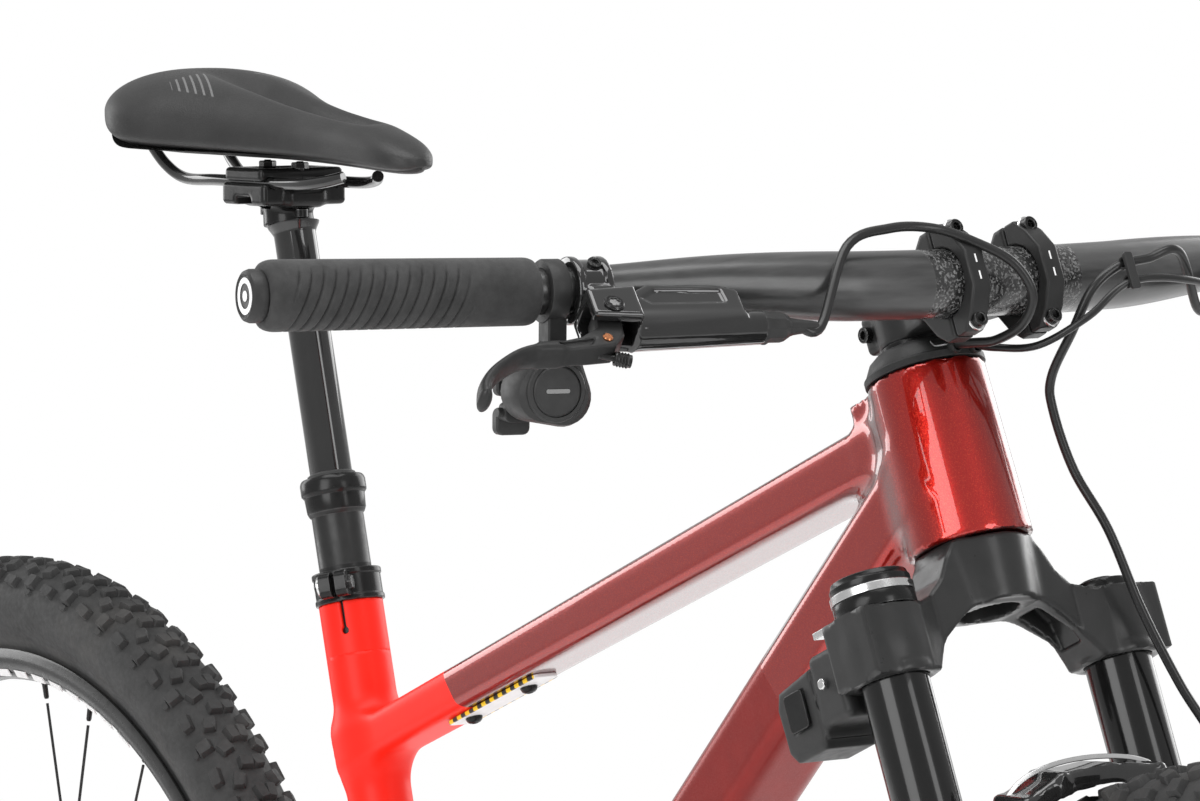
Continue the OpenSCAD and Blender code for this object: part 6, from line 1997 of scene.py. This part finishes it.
def build_derailleur():
    foot = base_low + (0, 0, 20)
    low = (min(rear_axle[0], foot[0]) - 26, -104, foot[2] - 16)
    base = skin(derailleur_base_field, low, (rear_axle[0] + 22, -82, rear_axle[2] + 19), 1.7)
    piece("derailleur_hanger", base, ANODISED, "derailleur_base", sharp=50)
    knuckle = skin(knuckle_field, (foot[0] - 18, -84, guide_at[2] - 18),
                   (guide_at[0] + 18, -61, foot[2] + 15), 1.4)
    piece("derailleur_drum", knuckle, ANODISED, "derailleur_knuckle", sharp=50)
    # The cage: two cut-out plates, with the pulleys' bolts
    offset = tension_at - guide_at
    length, lean = math.hypot(offset[0], offset[2]), math.atan2(offset[2], offset[0])
    outer = []
    for end, radius in ((length, 12.0), (0, 13.0)):
        for t in np.linspace(-math.pi / 2, math.pi / 2, 11):
            a = t if end else t + math.pi
            outer.append((end + radius * math.cos(a), radius * math.sin(a)))
    window = []
    for end, radius in ((length - 22, 4.6), (24, 4.6)):
        for t in np.linspace(-math.pi / 2, math.pi / 2, 11):
            a = t if end > length / 2 else t + math.pi
            window.append((end + radius * math.cos(a), radius * math.sin(a)))
    plate = frame_prism(outer, window, 0, 1.6)
    c, s = math.cos(lean), math.sin(lean)
    shapes = []
    for y in (CHAIN_PLANE + 6, CHAIN_PLANE - 7.6):
        place = local_frame((guide_at[0], y + 1.6, guide_at[2]), (c, 0, s), (-s, 0, c), (0, -1, 0))
        shapes.append(plate.at(place))
    for spot in (guide_at, tension_at):
        bolt = [(0, CHAIN_PLANE - 8.6), (4.2, CHAIN_PLANE - 8.6), (4.6, CHAIN_PLANE - 8.0),
                (4.6, CHAIN_PLANE - 7.5), (2.9, CHAIN_PLANE - 7.4), (2.9, CHAIN_PLANE + 7.4),
                (4.4, CHAIN_PLANE + 7.5), (4.4, CHAIN_PLANE + 8.4), (0, CHAIN_PLANE + 8.4)]
        shapes.append(lathe(bolt, 24).at(across(spot[0], spot[2])).tint(1))
    shapes.append(lathe([(0, -78.4), (4.8, -78.4), (4.8, CHAIN_PLANE - 7.5), (0, CHAIN_PLANE - 7.5)],
                        24).at(across(guide_at[0], guide_at[2])).tint(1))
    piece("derailleur_cage_plates", total(shapes), [ANODISED, BOLT], "derailleur_cage", bevel=0.25)
    outline = toothed(PULLEY_TEETH, 3.0, 2.2)
    hole = circle(3.2, len(outline))
    rings = frame_prism(outline, hole, CHAIN_PLANE - 0.75, CHAIN_PLANE + 0.75)
    hub = lathe([(3.2, CHAIN_PLANE - 4.6), (7.4, CHAIN_PLANE - 4.6), (7.8, CHAIN_PLANE - 4),
                 (7.8, CHAIN_PLANE + 4), (7.4, CHAIN_PLANE + 4.6), (3.2, CHAIN_PLANE + 4.6)], 36,
                loop=True)
    for name, spot in (("guide", guide_at), ("tension", tension_at)):
        piece(name + "_pulley_wheel", (rings + hub).at(across(spot[0], spot[2])), MOULDED,
              name + "_pulley", sharp=25)


def build_shock():
    direction = yoke_pivot - shock_front
    length = np.linalg.norm(direction)
    place = aimed(shock_front, direction)
    profile = [(6.1, 108), (11.8, 108), (12.4, 106), (12.4, 98), (11.6, 97), (11.6, 30), (12.2, 29),
               (12.2, 20), (11.4, 18), (8.8, 15), (8.6, 8), (6.1, 8)]
    can = lathe(profile[::-1], 64, loop=True)
    eye = lathe([(4.2, -12.2), (8.4, -12.2), (9.0, -11.4), (9.0, 11.4), (8.4, 12.2), (4.2, 12.2)], 40,
                loop=True)
    eye = eye.at(facing_right((0, 0, 0)))
    dial = lathe([(0, 0), (6, 0), (6, 5), (5.4, 5.8), (0, 5.8)],
                 18).at(local_frame((-11, 0, 24), (0, 1, 0), (0, 0, 1), (-1, 0, 0)))
    piece("shock_can", (can + eye + dial).at(place), ANODISED, "shock_barrel", bevel=0.3)
    shaft = lathe([(0, 86), (5.95, 86), (5.95, length - 16), (8.8, length - 15), (9.2, length - 8),
                   (0, length - 8)], 48)
    far = lathe([(6.8, -12), (10.4, -12), (11, -11.2), (11, 11.2), (10.4, 12), (6.8, 12)], 48, loop=True)
    far = far.at(facing_right((0, 0, length)))
    piece("shock_rod", (shaft + far).at(place), SILVER, "shock_shaft", sharp=35)


def build_shock_cheeks():
    """The two cheeks on the down tube that hold the shock's front eye, and the bottle threads' bosses."""
    foot = DOWN_TOP + 0.63 * (DOWN_LOW - DOWN_TOP)
    tangents = []
    d = foot[[0, 2]] - shock_front[[0, 2]]
    lean = math.atan2(d[1], d[0])
    for centre, radius, base in ((shock_front, 11.5, math.pi), (foot, 20.0, 0.0)):
        for t in np.linspace(-math.pi / 2, math.pi / 2, 13):
            a = lean + base + t
            tangents.append((centre[0] + radius * math.cos(a), centre[2] + radius * math.sin(a)))
    cheeks = []
    for y in (12.5, -17.0):
        cheeks.append(prism(tangents, 0, 4.5).at(facing_right((0, y + 4.5, 0))))
    bosses = []
    middle = DOWN_TOP + 0.52 * (DOWN_LOW - DOWN_TOP)
    for side in (-1, 1):
        spot = middle + side * 32 * DOWN_DIRECTION
        ring = lathe([(2.5, 20), (7.4, 20), (7.4, 29.4), (6.8, 30.0), (3.1, 30.0), (2.5, 29.4)], 32,
                     loop=True)
        bosses.append(ring.at(aimed(spot, DOWN_NORMAL)))
    piece("shock_cheeks", total(cheeks), PAINT, "front_frame", bevel=0.8)
    piece("bottle_bosses", total(bosses), ANODISED, "front_frame")


def build_rear():
    build_swingarm()
    build_cassette()
    build_cranks()
    build_pedals()
    build_chain()
    build_derailleur()
    build_shock()
    build_shock_cheeks()


# ---------------------------------------------------------------- stage, light and camera

VIEW_TARGET = np.array([21.1, 0.0, 882.1])
VIEW_AZIMUTH, VIEW_ELEVATION, VIEW_ROLL = 54.83, 4.38, -0.15
VIEW_DISTANCE = 3352.9
LENS, SENSOR = 182.1, 36.0


def build_camera():
    a, e = math.radians(VIEW_AZIMUTH), math.radians(VIEW_ELEVATION)
    back = np.array([math.sin(a) * math.cos(e), -math.cos(a) * math.cos(e), math.sin(e)])
    right = unit(np.cross((0, 0, 1), back))
    up = np.cross(back, right)
    roll = math.radians(VIEW_ROLL)
    tilted = math.cos(roll) * right + math.sin(roll) * up
    data = bpy.data.cameras.new("camera")
    data.lens, data.sensor_width = LENS, SENSOR
    data.clip_end = 100
    camera = bpy.data.objects.new("camera", data)
    pose = local_frame((VIEW_TARGET + VIEW_DISTANCE * back) * MM, tilted, np.cross(back, tilted), back)
    camera.matrix_world = Matrix(pose.tolist())
    bpy.context.scene.collection.objects.link(camera)
    bpy.context.scene.camera = camera


def area_light(name, position, target, size, power, height=None):
    data = bpy.data.lights.new(name, "AREA")
    data.shape = "RECTANGLE"
    data.size, data.size_y = size, height or size
    data.energy = power
    light = bpy.data.objects.new(name, data)
    back = unit(np.subtract(position, target))
    right = unit(np.cross((0, 0, 1), back)) if abs(back[2]) < 0.99 else np.array([1.0, 0, 0])
    pose = local_frame(position, right, np.cross(back, right), back)
    light.matrix_world = Matrix(pose.tolist())
    bpy.context.scene.collection.objects.link(light)


def build_stage():
    """A pale floor that fades into the white studio, and a world that is white to the camera only."""
    n = Nodes("floor")
    radius = n.vector("LENGTH", n.vector("MULTIPLY", n.place, (1, 1, 0)), output="Value")
    fade = n.add("MapRange", {"Value": radius, "From Min": 1.3, "From Max": 3.2},
                 interpolation_type="SMOOTHSTEP")
    n.set(Base_Color=rgb(0.86, 0.86, 0.86), Roughness=0.85, Emission_Color=rgb(1, 1, 1),
          Emission_Strength=0.22)
    clear = n.add("BsdfTransparent")
    mixed = n.add("MixShader", {0: fade.outputs[0], 1: n.shader.outputs[0], 2: clear.outputs[0]})
    n.tree.links.new(mixed.outputs[0], n.tree.nodes["Material Output"].inputs["Surface"])
    mesh = bpy.data.meshes.new("floor")
    shape = prism(circle(3400, 64), -12, 0)
    mesh.from_pydata((shape.points * MM).tolist(), [], shape.faces)
    mesh.materials.append(n.material)
    floor = bpy.data.objects.new("floor", mesh)
    bpy.context.scene.collection.objects.link(floor)

    world = bpy.data.worlds.new("studio")
    bpy.context.scene.world = world
    world.use_nodes = True
    tree = world.node_tree
    background = tree.nodes["Background"]
    background.inputs["Strength"].default_value = 0.62
    background.inputs["Color"].default_value = grey(1.0)
    seen = tree.nodes.new("ShaderNodeBackground")
    seen.inputs["Color"].default_value = grey(1.0)
    seen.inputs["Strength"].default_value = 1.0
    path = tree.nodes.new("ShaderNodeLightPath")
    mixed = tree.nodes.new("ShaderNodeMixShader")
    tree.links.new(path.outputs["Is Camera Ray"], mixed.inputs[0])
    tree.links.new(background.outputs[0], mixed.inputs[1])
    tree.links.new(seen.outputs[0], mixed.inputs[2])
    tree.links.new(mixed.outputs[0], tree.nodes["World Output"].inputs["Surface"])

    middle = (0.0, 0.0, 0.75)
    area_light("light_above", (0.3, -0.4, 3.2), middle, 2.6, 55, 1.6)
    area_light("light_right_side", (1.2, -3.0, 1.7), middle, 1.8, 52, 2.2)
    area_light("light_front", (3.4, 0.4, 1.4), middle, 0.9, 26, 2.2)
    area_light("light_left_side", (-0.6, 3.1, 1.7), middle, 2.2, 45, 2.2)
    area_light("light_rear", (-3.2, -1.0, 1.5), middle, 1.2, 30, 2.2)
    bpy.context.scene.view_settings.view_transform = "Standard"


# ---------------------------------------------------------------- build

build_front_frame()
build_seat_parts()
build_cockpit()
build_fork()
build_wheels()
build_rear()
build_stage()
build_camera()
